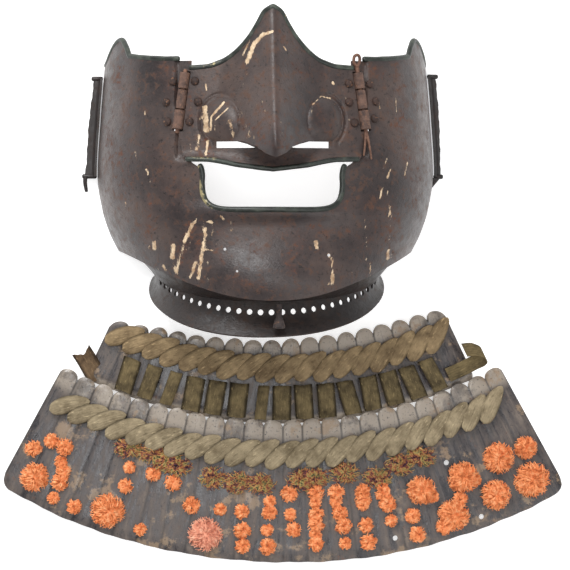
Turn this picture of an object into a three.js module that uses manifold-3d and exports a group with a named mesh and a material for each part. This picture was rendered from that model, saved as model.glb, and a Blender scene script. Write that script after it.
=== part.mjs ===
// A samurai half mask (mempo) lying on its open back, with its laced throat guard below it.
// Millimetres. +X is the wearer's left as seen from in front, +Y runs up the face, and
// +Z comes out of the face, so the mask and the guard both lie on the plane Z = 0.
import * as THREE from 'three';
import { mergeVertices } from 'three/addons/utils/BufferGeometryUtils.js';
import Module from 'manifold-3d';

const wasm = await Module();
wasm.setup();

const DEGREE = Math.PI / 180;
const LEFT = -1;
const RIGHT = 1;
const PIECE_GAP = 0.3;

// ---------------------------------------------------------------- face plate
const FACE_WALL = 1.6;
const BACK_PLANE = 0.6;
const BACK_TRIM = { width: 240, height: 300, depth: 10 };
const FACE_COLUMNS = 38;
const CHEEK_ROUNDNESS = 2.3;
const CHIN_BOTTOM = -8;
const JAW_RISE = 26;
const JAW_RISE_POWER = 2.2;
const FACE_ROW_FRACTIONS = [0, 0.12, 0.25, 0.38, 0.5, 0.58, 0.63, 0.68, 0.73, 0.79, 0.86, 0.93, 1];

// half width of the face at each height
const HALF_WIDTH_ROWS = [
  { height: -30, halfWidth: 57 },
  { height: -8, halfWidth: 65 },
  { height: 8, halfWidth: 73 },
  { height: 18, halfWidth: 77.5 },
  { height: 27, halfWidth: 82 },
  { height: 40, halfWidth: 86.2 },
  { height: 58, halfWidth: 88.8 },
  { height: 88, halfWidth: 87.2 },
  { height: 116, halfWidth: 84.8 },
  { height: 145, halfWidth: 80 },
];

// distance from the open back to the front of the cheeks at each height
const DEPTH_ROWS = [
  { height: -30, depth: 72 },
  { height: -8, depth: 75 },
  { height: 20, depth: 76 },
  { height: 60, depth: 76 },
  { height: 90, depth: 73.5 },
  { height: 116, depth: 70 },
  { height: 145, depth: 65 },
];

// top edge of the cheeks, from the middle (0) round to the back edge (1)
const CHEEK_TOP_ROWS = [
  { share: 0, height: 116.5 },
  { share: 0.6, height: 116.5 },
  { share: 0.87, height: 118.5 },
  { share: 0.905, height: 124 },
  { share: 0.935, height: 127.5 },
  { share: 0.965, height: 125 },
  { share: 1, height: 115 },
];

const CHIN_BULGE = { height: 2, lift: 10, halfHeight: 17, halfWidth: 40 };
const LOWER_LIP = { height: 38, lift: 5, halfHeight: 5, halfWidth: 36 };

// ---------------------------------------------------------------- mouth and seams
// half of the opening in the face plate, from above the cheeks down to the middle of the mouth
const OPENING_ROWS = [
  { x: 44.6, height: 140 },
  { x: 45.2, height: 112 },
  { x: 49.4, height: 80 },
  { x: 47.4, height: 68 },
  { x: 43, height: 64.2 },
  { x: 40.4, height: 60 },
  { x: 39.2, height: 52 },
  { x: 37.2, height: 44.5 },
  { x: 32.5, height: 39.2 },
  { x: 24, height: 37.2 },
  { x: 0, height: 36.8 },
];
const OPENING_BACK = 30;
const OPENING_FRONT = 140;
const MOUTH_RIM_FIRST_ROW = 5;
const MOUTH_MIDDLE = 52;
const MOUTH_SURROUND = 1.06;

// ---------------------------------------------------------------- nose plate
const NOSE_WALL = 1.4;
const NOSE_COLUMNS = 20;
const NOSE_ROWS = 10;
const UNDERSIDE_ROWS = 3;
const LIP_ROWS = 2;
const SEAM_HALF_WIDTH_ROWS = [
  { height: 61, halfWidth: 45.6 },
  { height: 68, halfWidth: 46.4 },
  { height: 80, halfWidth: 48.4 },
  { height: 112, halfWidth: 44.2 },
  { height: 145, halfWidth: 44 },
];
const NOSE_TOP_ROWS = [
  { x: 0, height: 143.2 },
  { x: 4, height: 141 },
  { x: 8, height: 134.5 },
  { x: 13, height: 127.2 },
  { x: 20, height: 119.8 },
  { x: 28, height: 114.6 },
  { x: 36, height: 112.2 },
  { x: 48, height: 111.4 },
];
const NOSE_BOTTOM_ROWS = [
  { x: 0, height: 65.5 },
  { x: 5, height: 67.6 },
  { x: 10, height: 71.4 },
  { x: 18, height: 74.4 },
  { x: 48, height: 74.4 },
];
const LIP_EDGE_ROWS = [
  { x: 0, height: 61.2 },
  { x: 18, height: 63.4 },
  { x: 34, height: 66.2 },
  { x: 48, height: 66.6 },
];
const NOSE_ROOT_HEIGHT = 70.5;
const UPPER_LIP_FLARE = 2;
const RIDGE_BLUNTNESS = 2.6;
const RIDGE_POWER = 1.45;
const RIDGE_ROWS = [
  { height: 65, rise: 26, spread: 26 },
  { height: 72, rise: 30, spread: 27 },
  { height: 90, rise: 24, spread: 27 },
  { height: 110, rise: 18, spread: 25 },
  { height: 130, rise: 14.5, spread: 21 },
  { height: 145, rise: 12.5, spread: 18 },
];
const WING = { x: 26.5, height: 84, halfWidth: 10, halfHeight: 11.5, lift: 5.5 };
const NOSE_HALF_WIDTH = 47;
const NOSTRIL_ROWS = [
  { x: 29, height: 74.2 },
  { x: 18.5, height: 74.2 },
  { x: 13.5, height: 72.8 },
  { x: 8.5, height: 70.9 },
  { x: 29, height: 70.9 },
];

// ---------------------------------------------------------------- rims, hinges, rivets
const RIM_RADIUS = 1.4;
const RIM_SIDES = 6;
const RIM_GAP = 0.8;
const RIM_REACH = 0.95;
const CHEEK_RIM_TURNS = { first: 33, last: 89 };
const HINGE_TOP = { x: 44.8, height: 110.5 };
const HINGE_BOTTOM = { x: 48.9, height: 80.5 };
const KNUCKLE_ENDS = [0, 0.3, 0.65, 1];
const KNUCKLE_RADIUS = 2.7;
const KNUCKLE_BORE = 1.25;
const KNUCKLE_SIDES = 8;
const KNUCKLE_PAUSE = 0.008;
const HINGE_CLEARANCE = 0.35;
const SLOT_BELOW_HINGE = 0.12;
const SLOT_ABOVE_HINGE = { [LEFT]: 0.03, [RIGHT]: 0.2 };
const LEAF_THICKNESS = 0.9;
const LEAF_WIDTH = 11;
const LEAF_MARGIN = 0.02;
const LEAF_COLUMNS = 3;
const LEAF_ROWS = 4;
const PIN_RADIUS = 0.9;
// how the split pin's wire runs, from the top and from the foot of its shank
const SPLIT_PIN_EYE = [
  { x: 0, y: 0, z: 0.4 },
  { x: -1.6, y: 2.2, z: 1.2 },
  { x: -1.4, y: 5.2, z: 1.4 },
  { x: 0.6, y: 5.4, z: 1.2 },
  { x: 1.3, y: 2.4, z: 1 },
  { x: 0.3, y: 0.1, z: 0.6 },
];
const SPLIT_PIN_TAILS = [
  [
    { x: 0, y: 0, z: 0 },
    { x: -0.4, y: -3.4, z: 1.6 },
    { x: -0.9, y: -8.4, z: 3 },
    { x: -1.4, y: -12.6, z: 3.4 },
  ],
  [
    { x: 0, y: 0, z: 0 },
    { x: 0.6, y: -3.4, z: 1.6 },
    { x: 1.4, y: -8.4, z: 3 },
    { x: 2.2, y: -12.6, z: 3.4 },
  ],
];
const RIVET_RADIUS = 2.2;
const RIVET_HEIGHT = 1.6;
const RIVET_SIDES = 7;
// along: share of the hinge from its top; toward: which way across it; across: distance from it
const RIVETS = [
  { name: 'left_cheek_upper', side: LEFT, toward: 1, along: 0.16, across: 5.6 },
  { name: 'left_cheek_middle', side: LEFT, toward: 1, along: 0.52, across: 7.6 },
  { name: 'left_cheek_lower', side: LEFT, toward: 1, along: 0.86, across: 5.6 },
  { name: 'left_nose_upper', side: LEFT, toward: -1, along: 0.16, across: 5.6 },
  { name: 'left_nose_middle', side: LEFT, toward: -1, along: 0.52, across: 8.6 },
  { name: 'left_nose_lower', side: LEFT, toward: -1, along: 0.86, across: 5.6 },
  { name: 'right_cheek_upper', side: RIGHT, toward: 1, along: 0.2, across: 5.6 },
  { name: 'right_cheek_middle', side: RIGHT, toward: 1, along: 0.5, across: 7.6 },
  { name: 'right_cheek_lower', side: RIGHT, toward: 1, along: 0.8, across: 5.6 },
  { name: 'right_nose_upper', side: RIGHT, toward: -1, along: 0.2, across: 5.6 },
  { name: 'right_nose_middle', side: RIGHT, toward: -1, along: 0.52, across: 7 },
  { name: 'right_nose_lower', side: RIGHT, toward: -1, along: 0.88, across: 5.6 },
];

// ---------------------------------------------------------------- collar under the chin
const COLLAR_WALL = 1.4;
const JAW_CLEARANCE = 0.8;
const COLLAR_COLUMNS = 26;
const COLLAR_TURN = 106 * DEGREE;
const COLLAR_JAW_TURN = 84 * DEGREE;
const COLLAR_CENTRE_Z = 16;
const COLLAR_NECK = { halfWidth: 52.5, depth: 46, front: -8.6, rise: 18 };
const COLLAR_HEM = { halfWidth: 61.5, depth: 53, front: -25.9, rise: 23.5 };
const COLLAR_RISE_POWER = 1.1;
const LACE_HOLES = 27;
const LACE_HOLE_RADIUS = 1.6;
const LACE_HOLE_TURN = 7 * DEGREE;
const LACE_HOLE_DROP = 0.33;
const DRILL_SIDES = 6;
const CHIN_PEG = { x: 3, z: 72, top: -9.4, length: 13, stem: 1.5, tip: 3.2 };

// ---------------------------------------------------------------- ear flanges
const EAR_WALL = 1.3;
const EAR_LIP_DEPTH = 9;
const EAR_BASE = 3.2;
const EAR_ROWS = 3;
const EAR_OUTLINE_ROWS = [
  { height: 57.5, reach: 94.6 },
  { height: 82, reach: 93.6 },
  { height: 109, reach: 91 },
];
const EAR_RIM_RADIUS = 1.2;
const EAR_PRONG_LENGTH = 7;

// ---------------------------------------------------------------- throat guard
const GUARD_CENTRE = { x: 8, y: 168 };
const GUARD_SPREAD = 28.5 * DEGREE;
const GUARD_ARCH = 12;
const GUARD_LIFT = 0.4;
const LAME_THICKNESS = 2.2;
const LOWER_LAME = { top: 239.5, bottom: 312.7, spread: 28.5 * DEGREE, scales: 24, relief: 1.1 };
const UPPER_LAME = { top: 198.5, bottom: 237.4, spread: 25.5 * DEGREE, scales: 18, relief: 1.1 };
const SCALE_NOTCH = 3.4;
const COLUMNS_PER_SCALE = 3;
const LAME_CORNER = 7;
const LAME_ROW_SHARES = [0, 0.14, 1];
const UPPER_BRAID = { inner: 206, outer: 218, count: 18, spread: 24.6 * DEGREE, slant: 1.7 * DEGREE };
const LOWER_BRAID = { inner: 250.5, outer: 264.5, count: 23, spread: 27 * DEGREE, slant: 1.8 * DEGREE };
const BRAID_THICKNESS = 1.6;
const BRAID_STEP = 1.1;
const BRAID_FOLD_SHARE = 0.86;
const BRAID_TOOTH = 2.6;
const TAPE_THICKNESS = 1.2;
const TAPE_COLUMNS = 2;
const TAPES = [
  { bearing: -20.6, width: 10.2, twist: -1.2, lift: 1.6 },
  { bearing: -17.6, width: 8.6, twist: 0.8, lift: 2.4 },
  { bearing: -14.7, width: 7, twist: 1.6, lift: 2.2 },
  { bearing: -11.7, width: 10.6, twist: -0.4, lift: 1.4 },
  { bearing: -8.8, width: 10.4, twist: 0.3, lift: 1.6 },
  { bearing: -5.8, width: 10.8, twist: 0.2, lift: 1.4 },
  { bearing: -2.6, width: 6.4, twist: 1.2, lift: 2 },
  { bearing: 0, width: 10.6, twist: 0.2, lift: 1.6 },
  { bearing: 2.9, width: 10.4, twist: -0.3, lift: 1.4 },
  { bearing: 5.9, width: 10.2, twist: 0.4, lift: 2 },
  { bearing: 8.9, width: 9.8, twist: -2.6, lift: 1.6 },
  { bearing: 11.8, width: 10, twist: 0.4, lift: 2.2 },
  { bearing: 14.7, width: 10.4, twist: -0.8, lift: 1.8 },
  { bearing: 17.6, width: 9.8, twist: -2.2, lift: 2 },
  { bearing: 20.5, width: 8.8, twist: -2.4, lift: 2.4 },
];
const TAPE_START = 222;
const TAPE_END = 236.6;
const LOOSE_TAPE = {
  root: { radius: 235, bearing: -24.4, lift: 5.2 },
  tip: { radius: 226, bearing: -28.4, lift: 7.4 },
  halfAcross: { x: 5, y: 1.6 },
};
const CURLED_TAPE = {
  across: { x: 3, y: -6.4, z: 1.6 },
  spine: [
    { x: 97, y: -47, z: 10 },
    { x: 108, y: -42, z: 11 },
    { x: 115, y: -38, z: 13.6 },
    { x: 112, y: -34.5, z: 17 },
    { x: 105, y: -33.5, z: 17.6 },
  ],
};
const ROSETTES = [
  { name: 'left_edge', bearing: -25.8, radius: 299, halfSize: 7.6 },
  { name: 'left_low', bearing: -17.7, radius: 301, halfSize: 9 },
  { name: 'middle_low', bearing: -7.7, radius: 302, halfSize: 8.8 },
  { name: 'right_inner', bearing: 15, radius: 286, halfSize: 7.6 },
  { name: 'right_low', bearing: 17.5, radius: 303.6, halfSize: 8.2 },
  { name: 'right_middle', bearing: 19.7, radius: 286.5, halfSize: 8.4 },
  { name: 'right_foot', bearing: 22.2, radius: 301.5, halfSize: 7.8 },
  { name: 'right_high', bearing: 24, radius: 284, halfSize: 8.2 },
  { name: 'right_corner', bearing: 27.1, radius: 285.5, halfSize: 6 },
  { name: 'right_edge', bearing: 26.2, radius: 302.2, halfSize: 9.4 },
];
// plain holes through the lower lame
const LAME_HOLES = [
  { bearing: 18.5, radius: 276.2 },
  { bearing: 20.1, radius: 309.4 },
  { bearing: 11.3, radius: 307.6 },
];
const LAME_HOLE_RADIUS = 1.5;
const ROSETTE_HEIGHT = 2.4;
const ROSETTE_SIDES = 8;

// ---------------------------------------------------------------- small helpers
// A smooth curve through a short table, without overshoot, held straight past its ends.
function curveThrough(rows, atName, valueName) {
  const at = rows.map((row) => row[atName]);
  const value = rows.map((row) => row[valueName]);
  const last = at.length - 1;
  const slopes = [];
  for (let i = 0; i < last; i += 1) {
    slopes.push((value[i + 1] - value[i]) / (at[i + 1] - at[i]));
  }
  const tangents = at.map((_, i) => {
    const before = slopes[Math.max(0, i - 1)];
    const after = slopes[Math.min(last - 1, i)];
    return before * after <= 0 ? 0 : (2 * before * after) / (before + after);
  });
  return (where) => {
    const inside = Math.min(at[last], Math.max(at[0], where));
    let i = 0;
    while (i < last - 1 && inside > at[i + 1]) {
      i += 1;
    }
    const span = at[i + 1] - at[i];
    const t = (inside - at[i]) / span;
    const rise = t * t * (3 - 2 * t);
    const leave = t * (1 - t) * (1 - t) * span * tangents[i];
    const arrive = t * t * (1 - t) * span * tangents[i + 1];
    return value[i] + (value[i + 1] - value[i]) * rise + leave - arrive;
  };
}

function hill(distance, halfSpan) {
  return Math.exp(-((distance / halfSpan) ** 2));
}

function meshGeometry(vertices, indices) {
  const positions = vertices.flatMap((vertex) => [vertex.x, vertex.y, vertex.z]);
  const geometry = new THREE.BufferGeometry();
  geometry.setAttribute('position', new THREE.Float32BufferAttribute(positions, 3));
  geometry.setIndex(indices);
  return geometry;
}

// A closed sheet: an outer skin on a grid, an inner skin set in by the wall, joined at the edges.
// Columns run toward +X and rows toward -Y, so that the outward side is the row x column side.
function sheetFromGrid(pointAt, columnShares, rowShares, wall) {
  const columns = columnShares.length;
  const rows = rowShares.length;
  const outer = rowShares.flatMap((row) => columnShares.map((column) => pointAt(column, row)));
  const at = (column, row) => outer[row * columns + column];
  const inner = outer.map((point, index) => {
    const column = index % columns;
    const row = Math.floor(index / columns);
    const across = at(Math.min(columns - 1, column + 1), row).clone();
    across.sub(at(Math.max(0, column - 1), row));
    const down = at(column, Math.min(rows - 1, row + 1)).clone();
    down.sub(at(column, Math.max(0, row - 1)));
    const normal = down.cross(across).normalize();
    return point.clone().addScaledVector(normal, -wall);
  });
  const indices = [];
  const quad = (a, b, c, d) => indices.push(a, b, c, a, c, d);
  const under = outer.length;
  for (let row = 0; row < rows - 1; row += 1) {
    for (let column = 0; column < columns - 1; column += 1) {
      const corner = row * columns + column;
      quad(corner, corner + columns, corner + columns + 1, corner + 1);
      quad(under + corner, under + corner + 1, under + corner + columns + 1, under + corner + columns);
    }
  }
  for (let column = 0; column < columns - 1; column += 1) {
    const low = (rows - 1) * columns + column;
    quad(column, column + 1, under + column + 1, under + column);
    quad(low + 1, low, under + low, under + low + 1);
  }
  for (let row = 0; row < rows - 1; row += 1) {
    const start = row * columns;
    const end = start + columns - 1;
    quad(start + columns, start, under + start, under + start + columns);
    quad(end, end + columns, under + end + columns, under + end);
  }
  return meshGeometry([...outer, ...inner], indices);
}

function evenShares(steps) {
  return Array.from({ length: steps + 1 }, (_, step) => step / steps);
}

function solidOf(geometry) {
  const bare = geometry.clone();
  bare.deleteAttribute('normal');
  bare.deleteAttribute('uv');
  const welded = mergeVertices(bare, 1e-4);
  const mesh = new wasm.Mesh({
    numProp: 3,
    vertProperties: Float32Array.from(welded.attributes.position.array),
    triVerts: Uint32Array.from(welded.index.array),
  });
  return new wasm.Manifold(mesh);
}

function geometryOf(solid) {
  const mesh = solid.getMesh();
  const geometry = new THREE.BufferGeometry();
  geometry.setAttribute('position', new THREE.BufferAttribute(Float32Array.from(mesh.vertProperties), 3));
  geometry.setIndex(Array.from(mesh.triVerts));
  return geometry;
}

function polygonPoints(sides, radius) {
  return Array.from({ length: sides }, (_, side) => {
    const turn = (side / sides) * 2 * Math.PI;
    return new THREE.Vector2(radius * Math.cos(turn), radius * Math.sin(turn));
  });
}

function tubeAlong(points, radius, steps) {
  const path = new THREE.CatmullRomCurve3(points, false, 'centripetal');
  const section = new THREE.Shape(polygonPoints(RIM_SIDES, radius));
  return new THREE.ExtrudeGeometry(section, { steps, extrudePath: path, bevelEnabled: false });
}

// A straight round bar between two points, with a bore through it when one is asked for.
function barBetween(from, to, radius, sides, bore = 0) {
  const section = new THREE.Shape(polygonPoints(sides, radius));
  if (bore > 0) {
    section.holes.push(new THREE.Path(polygonPoints(sides, bore)));
  }
  const length = from.distanceTo(to);
  const geometry = new THREE.ExtrudeGeometry(section, { depth: length, bevelEnabled: false });
  const direction = to.clone().sub(from).normalize();
  const turn = new THREE.Quaternion().setFromUnitVectors(new THREE.Vector3(0, 0, 1), direction);
  geometry.applyQuaternion(turn);
  geometry.translate(from.x, from.y, from.z);
  return geometry;
}

// An upright prism through the front of the mask over an outline of {x, height} rows.
function prismOver(outline, from, to) {
  const shape = new THREE.Shape(outline.map((row) => new THREE.Vector2(row.x, row.height)));
  const geometry = new THREE.ExtrudeGeometry(shape, { depth: to - from, bevelEnabled: false });
  geometry.translate(0, 0, from);
  return geometry;
}

function mirrored(rows) {
  return rows.map((row) => ({ ...row, x: -row.x })).reverse();
}

// ---------------------------------------------------------------- surfaces of the mask
const halfWidthAt = curveThrough(HALF_WIDTH_ROWS, 'height', 'halfWidth');
const depthAt = curveThrough(DEPTH_ROWS, 'height', 'depth');
const cheekTopAt = curveThrough(CHEEK_TOP_ROWS, 'share', 'height');
const noseTopAt = curveThrough(NOSE_TOP_ROWS, 'x', 'height');
const noseBottomAt = curveThrough(NOSE_BOTTOM_ROWS, 'x', 'height');
const lipEdgeAt = curveThrough(LIP_EDGE_ROWS, 'x', 'height');
const seamHalfWidthAt = curveThrough(SEAM_HALF_WIDTH_ROWS, 'height', 'halfWidth');
const ridgeRiseAt = curveThrough(RIDGE_ROWS, 'height', 'rise');
const ridgeSpreadAt = curveThrough(RIDGE_ROWS, 'height', 'spread');
const earReachAt = curveThrough(EAR_OUTLINE_ROWS, 'height', 'reach');

// Smooth cheek wrap: a squared ellipse across the face at each height.
function cheekZ(x, height) {
  const share = Math.min(1, Math.abs(x) / halfWidthAt(height));
  return depthAt(height) * (1 - share ** CHEEK_ROUNDNESS) ** (1 / CHEEK_ROUNDNESS);
}

// Cheek wrap with the chin and the out-turned lower lip raised on it.
function faceZ(x, height) {
  const chin = hill(height - CHIN_BULGE.height, CHIN_BULGE.halfHeight) * hill(x, CHIN_BULGE.halfWidth);
  const lip = hill(height - LOWER_LIP.height, LOWER_LIP.halfHeight) * hill(x, LOWER_LIP.halfWidth);
  return cheekZ(x, height) + CHIN_BULGE.lift * chin + LOWER_LIP.lift * lip;
}

// Cheek wrap with the nose ridge and its two wings raised on it.
function noseZ(x, height) {
  const fromRidge = Math.hypot(x, RIDGE_BLUNTNESS) - RIDGE_BLUNTNESS;
  const ridgeShare = Math.max(0, 1 - fromRidge / ridgeSpreadAt(height));
  const ridge = ridgeRiseAt(height) * ridgeShare ** RIDGE_POWER;
  const wingX = (Math.abs(x) - WING.x) / WING.halfWidth;
  const wingY = (height - WING.height) / WING.halfHeight;
  const wing = WING.lift * Math.max(0, 1 - wingX ** 2 - wingY ** 2) ** 0.6;
  return cheekZ(x, height) + ridge + wing;
}

function outwardNormal(heightField, x, height) {
  const step = 0.5;
  const slopeX = (heightField(x + step, height) - heightField(x - step, height)) / (2 * step);
  const slopeY = (heightField(x, height + step) - heightField(x, height - step)) / (2 * step);
  return new THREE.Vector3(-slopeX, -slopeY, 1).normalize();
}

// A point over a height field, moved along its normal (negative goes inside the mask).
function pointOver(heightField, x, height, lift) {
  const point = new THREE.Vector3(x, height, heightField(x, height));
  return point.addScaledVector(outwardNormal(heightField, x, height), lift);
}

// A point of the face plate: turn goes round from one back edge to the other.
function facePoint(turn, height) {
  const share = Math.abs(Math.sin(turn)) ** (2 / CHEEK_ROUNDNESS);
  const x = Math.sign(turn) * halfWidthAt(height) * share;
  return new THREE.Vector3(x, height, faceZ(x, height));
}

function widthShare(turn) {
  return Math.abs(Math.sin(turn)) ** (2 / CHEEK_ROUNDNESS);
}

function jawEdgeAt(turn) {
  return CHIN_BOTTOM + JAW_RISE * widthShare(turn) ** JAW_RISE_POWER;
}

// ---------------------------------------------------------------- face plate
function facePlate() {
  const pointAt = (across, down) => {
    const turn = (across * 2 - 1) * 90 * DEGREE;
    const top = cheekTopAt(widthShare(turn));
    return facePoint(turn, top + (jawEdgeAt(turn) - top) * down);
  };
  const columns = evenShares(FACE_COLUMNS);
  const plate = solidOf(sheetFromGrid(pointAt, columns, FACE_ROW_FRACTIONS, FACE_WALL));
  const outline = [...OPENING_ROWS.slice(0, -1), ...mirrored(OPENING_ROWS)];
  const opening = solidOf(prismOver(outline.reverse(), OPENING_BACK, OPENING_FRONT));
  const behind = new THREE.BoxGeometry(BACK_TRIM.width, BACK_TRIM.height, BACK_TRIM.depth);
  behind.translate(0, BACK_TRIM.height / 4, BACK_PLANE - BACK_TRIM.depth / 2);
  const cuts = [opening, solidOf(behind), ...[LEFT, RIGHT].map((side) => solidOf(hingeSlot(side)))];
  return geometryOf(cuts.reduce((solid, cut) => solid.subtract(cut), plate));
}

// ---------------------------------------------------------------- nose plate
function nosePoint(across, down) {
  const nominalX = Math.abs(across) * NOSE_HALF_WIDTH;
  const top = noseTopAt(nominalX);
  const bottom = noseBottomAt(nominalX);
  const edge = lipEdgeAt(nominalX);
  const rootEnd = NOSE_ROWS + UNDERSIDE_ROWS;
  if (down <= NOSE_ROWS) {
    const height = top + ((bottom - top) * down) / NOSE_ROWS;
    const x = across * seamHalfWidthAt(height);
    return new THREE.Vector3(x, height, noseZ(x, height));
  }
  if (down <= rootEnd) {
    const share = (down - NOSE_ROWS) / UNDERSIDE_ROWS;
    const height = bottom + (NOSE_ROOT_HEIGHT - bottom) * share;
    const x = across * seamHalfWidthAt(height);
    const front = noseZ(across * seamHalfWidthAt(bottom), bottom);
    const root = cheekZ(x, NOSE_ROOT_HEIGHT);
    return new THREE.Vector3(x, height, front + (root - front) * share);
  }
  const share = (down - rootEnd) / LIP_ROWS;
  const height = NOSE_ROOT_HEIGHT + (edge - NOSE_ROOT_HEIGHT) * share;
  const x = across * seamHalfWidthAt(height);
  return new THREE.Vector3(x, height, cheekZ(x, height) + UPPER_LIP_FLARE * share * share);
}

function nosePlate() {
  const columns = evenShares(NOSE_COLUMNS).map((share) => share * 2 - 1);
  const rows = Array.from({ length: NOSE_ROWS + UNDERSIDE_ROWS + LIP_ROWS + 1 }, (_, row) => row);
  let plate = solidOf(sheetFromGrid(nosePoint, columns, rows, NOSE_WALL));
  for (const outline of [mirrored(NOSTRIL_ROWS), NOSTRIL_ROWS]) {
    plate = plate.subtract(solidOf(prismOver(outline, OPENING_BACK, OPENING_FRONT)));
  }
  for (const side of [LEFT, RIGHT]) {
    plate = plate.subtract(solidOf(hingeSlot(side)));
  }
  return geometryOf(plate);
}

// ---------------------------------------------------------------- rims
// A rolled rim beside an edge. Each place on the edge gives a point on it and one a little
// inside the plate; the rim's centre line lies straight on from those by the rim's radius.
function rimBeside(places, wall, steps) {
  const edge = places.map((place) => place.edge);
  const path = places.map(({ edge: point, inside }, index) => {
    const before = edge[Math.max(0, index - 1)];
    const after = edge[Math.min(edge.length - 1, index + 1)];
    const along = after.clone().sub(before).normalize();
    const away = point.clone().sub(inside);
    away.addScaledVector(along, -away.dot(along)).normalize();
    const inward = along.cross(away);
    inward.multiplyScalar(-Math.sign(inward.z) * (wall / 2));
    return point.clone().addScaledVector(away, RIM_RADIUS + RIM_GAP).add(inward);
  });
  return tubeAlong(path, RIM_RADIUS, steps);
}

function noseRim() {
  const places = evenShares(26).map((share) => {
    const across = (share * 2 - 1) * RIM_REACH;
    return { edge: nosePoint(across, 0), inside: nosePoint(across, 0.2) };
  });
  return rimBeside(places, NOSE_WALL, 28);
}

function lipRim() {
  const lastRow = NOSE_ROWS + UNDERSIDE_ROWS + LIP_ROWS;
  const places = evenShares(16).map((share) => {
    const across = (share * 2 - 1) * RIM_REACH;
    return { edge: nosePoint(across, lastRow), inside: nosePoint(across, lastRow - 0.3) };
  });
  return rimBeside(places, NOSE_WALL, 18);
}

function mouthRim() {
  const half = OPENING_ROWS.slice(MOUTH_RIM_FIRST_ROW);
  const rows = [...mirrored(half).reverse(), ...half.slice(0, -1).reverse()];
  const places = rows.map((row) => {
    const plateX = row.x * MOUTH_SURROUND;
    const plateHeight = MOUTH_MIDDLE + (row.height - MOUTH_MIDDLE) * MOUTH_SURROUND;
    return {
      edge: new THREE.Vector3(row.x, row.height, faceZ(row.x, row.height)),
      inside: new THREE.Vector3(plateX, plateHeight, faceZ(plateX, plateHeight)),
    };
  });
  return rimBeside(places, FACE_WALL, 24);
}

function cheekRim(side) {
  const { first, last } = CHEEK_RIM_TURNS;
  const places = evenShares(18).map((share) => {
    const turn = side * (first + (last - first) * share) * DEGREE;
    const height = cheekTopAt(widthShare(turn));
    return { edge: facePoint(turn, height), inside: facePoint(turn, height - 2) };
  });
  return rimBeside(places, FACE_WALL, 20);
}

// ---------------------------------------------------------------- hinges
function hingePoint(side, along) {
  const x = side * (HINGE_TOP.x + (HINGE_BOTTOM.x - HINGE_TOP.x) * along);
  const height = HINGE_TOP.height + (HINGE_BOTTOM.height - HINGE_TOP.height) * along;
  return new THREE.Vector3(x, height, cheekZ(x, height));
}

// The slot that the knuckles turn in, a little longer than the hinge at its foot.
function hingeSlot(side) {
  const from = hingePoint(side, -SLOT_ABOVE_HINGE[side]);
  const to = hingePoint(side, 1 + SLOT_BELOW_HINGE);
  return barBetween(from, to, KNUCKLE_RADIUS + HINGE_CLEARANCE, KNUCKLE_SIDES);
}

function knuckle(side, index) {
  const from = hingePoint(side, KNUCKLE_ENDS[index] + KNUCKLE_PAUSE);
  const to = hingePoint(side, KNUCKLE_ENDS[index + 1] - KNUCKLE_PAUSE);
  return solidOf(barBetween(from, to, KNUCKLE_RADIUS, KNUCKLE_SIDES, KNUCKLE_BORE));
}

// The room that a leaf leaves round a knuckle that belongs to the other leaf.
function knuckleRoom(side, index) {
  const from = hingePoint(side, KNUCKLE_ENDS[index] - KNUCKLE_PAUSE);
  const to = hingePoint(side, KNUCKLE_ENDS[index + 1] + KNUCKLE_PAUSE);
  return solidOf(barBetween(from, to, KNUCKLE_RADIUS + HINGE_CLEARANCE, KNUCKLE_SIDES));
}

// A leaf lies inside the mask and carries its own knuckles; toward is +1 for the cheek side.
function hingeLeaf(side, toward, ownKnuckles, otherKnuckles) {
  const heightField = toward > 0 ? cheekZ : noseZ;
  const wall = toward > 0 ? FACE_WALL : NOSE_WALL;
  const startsAtHinge = side * toward > 0;
  const pointAt = (across, down) => {
    const hinge = hingePoint(side, LEAF_MARGIN + (1 - 2 * LEAF_MARGIN) * down);
    const x = hinge.x + (startsAtHinge ? across : across - 1) * LEAF_WIDTH;
    return pointOver(heightField, x, hinge.y, -wall - PIECE_GAP);
  };
  const plate = sheetFromGrid(pointAt, evenShares(LEAF_COLUMNS), evenShares(LEAF_ROWS), LEAF_THICKNESS);
  let leaf = solidOf(plate);
  for (const index of otherKnuckles) {
    leaf = leaf.subtract(knuckleRoom(side, index));
  }
  const bore = barBetween(hingePoint(side, -0.1), hingePoint(side, 1.1), KNUCKLE_BORE, KNUCKLE_SIDES);
  leaf = leaf.subtract(solidOf(bore));
  for (const index of ownKnuckles) {
    leaf = leaf.add(knuckle(side, index));
  }
  return geometryOf(leaf);
}

function plainPin() {
  return barBetween(hingePoint(LEFT, -0.02), hingePoint(LEFT, 1.03), PIN_RADIUS, RIM_SIDES);
}

// A split pin: an eye over the top rim, a straight shank, and two tails spread below the hinge.
function splitPin() {
  const top = hingePoint(RIGHT, -0.12);
  const shank = solidOf(barBetween(top, hingePoint(RIGHT, 1.04), PIN_RADIUS, RIM_SIDES));
  const bend = (start, offsets, thickness) => {
    const points = offsets.map(({ x, y, z }) => start.clone().add(new THREE.Vector3(x, y, z)));
    return solidOf(tubeAlong(points, PIN_RADIUS * thickness, offsets.length));
  };
  const eye = bend(hingePoint(RIGHT, -0.1), SPLIT_PIN_EYE, 0.8);
  const tails = SPLIT_PIN_TAILS.map((tail) => bend(hingePoint(RIGHT, 1.02), tail, 0.72));
  return geometryOf([eye, ...tails].reduce((solid, part) => solid.add(part), shank));
}

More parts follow.
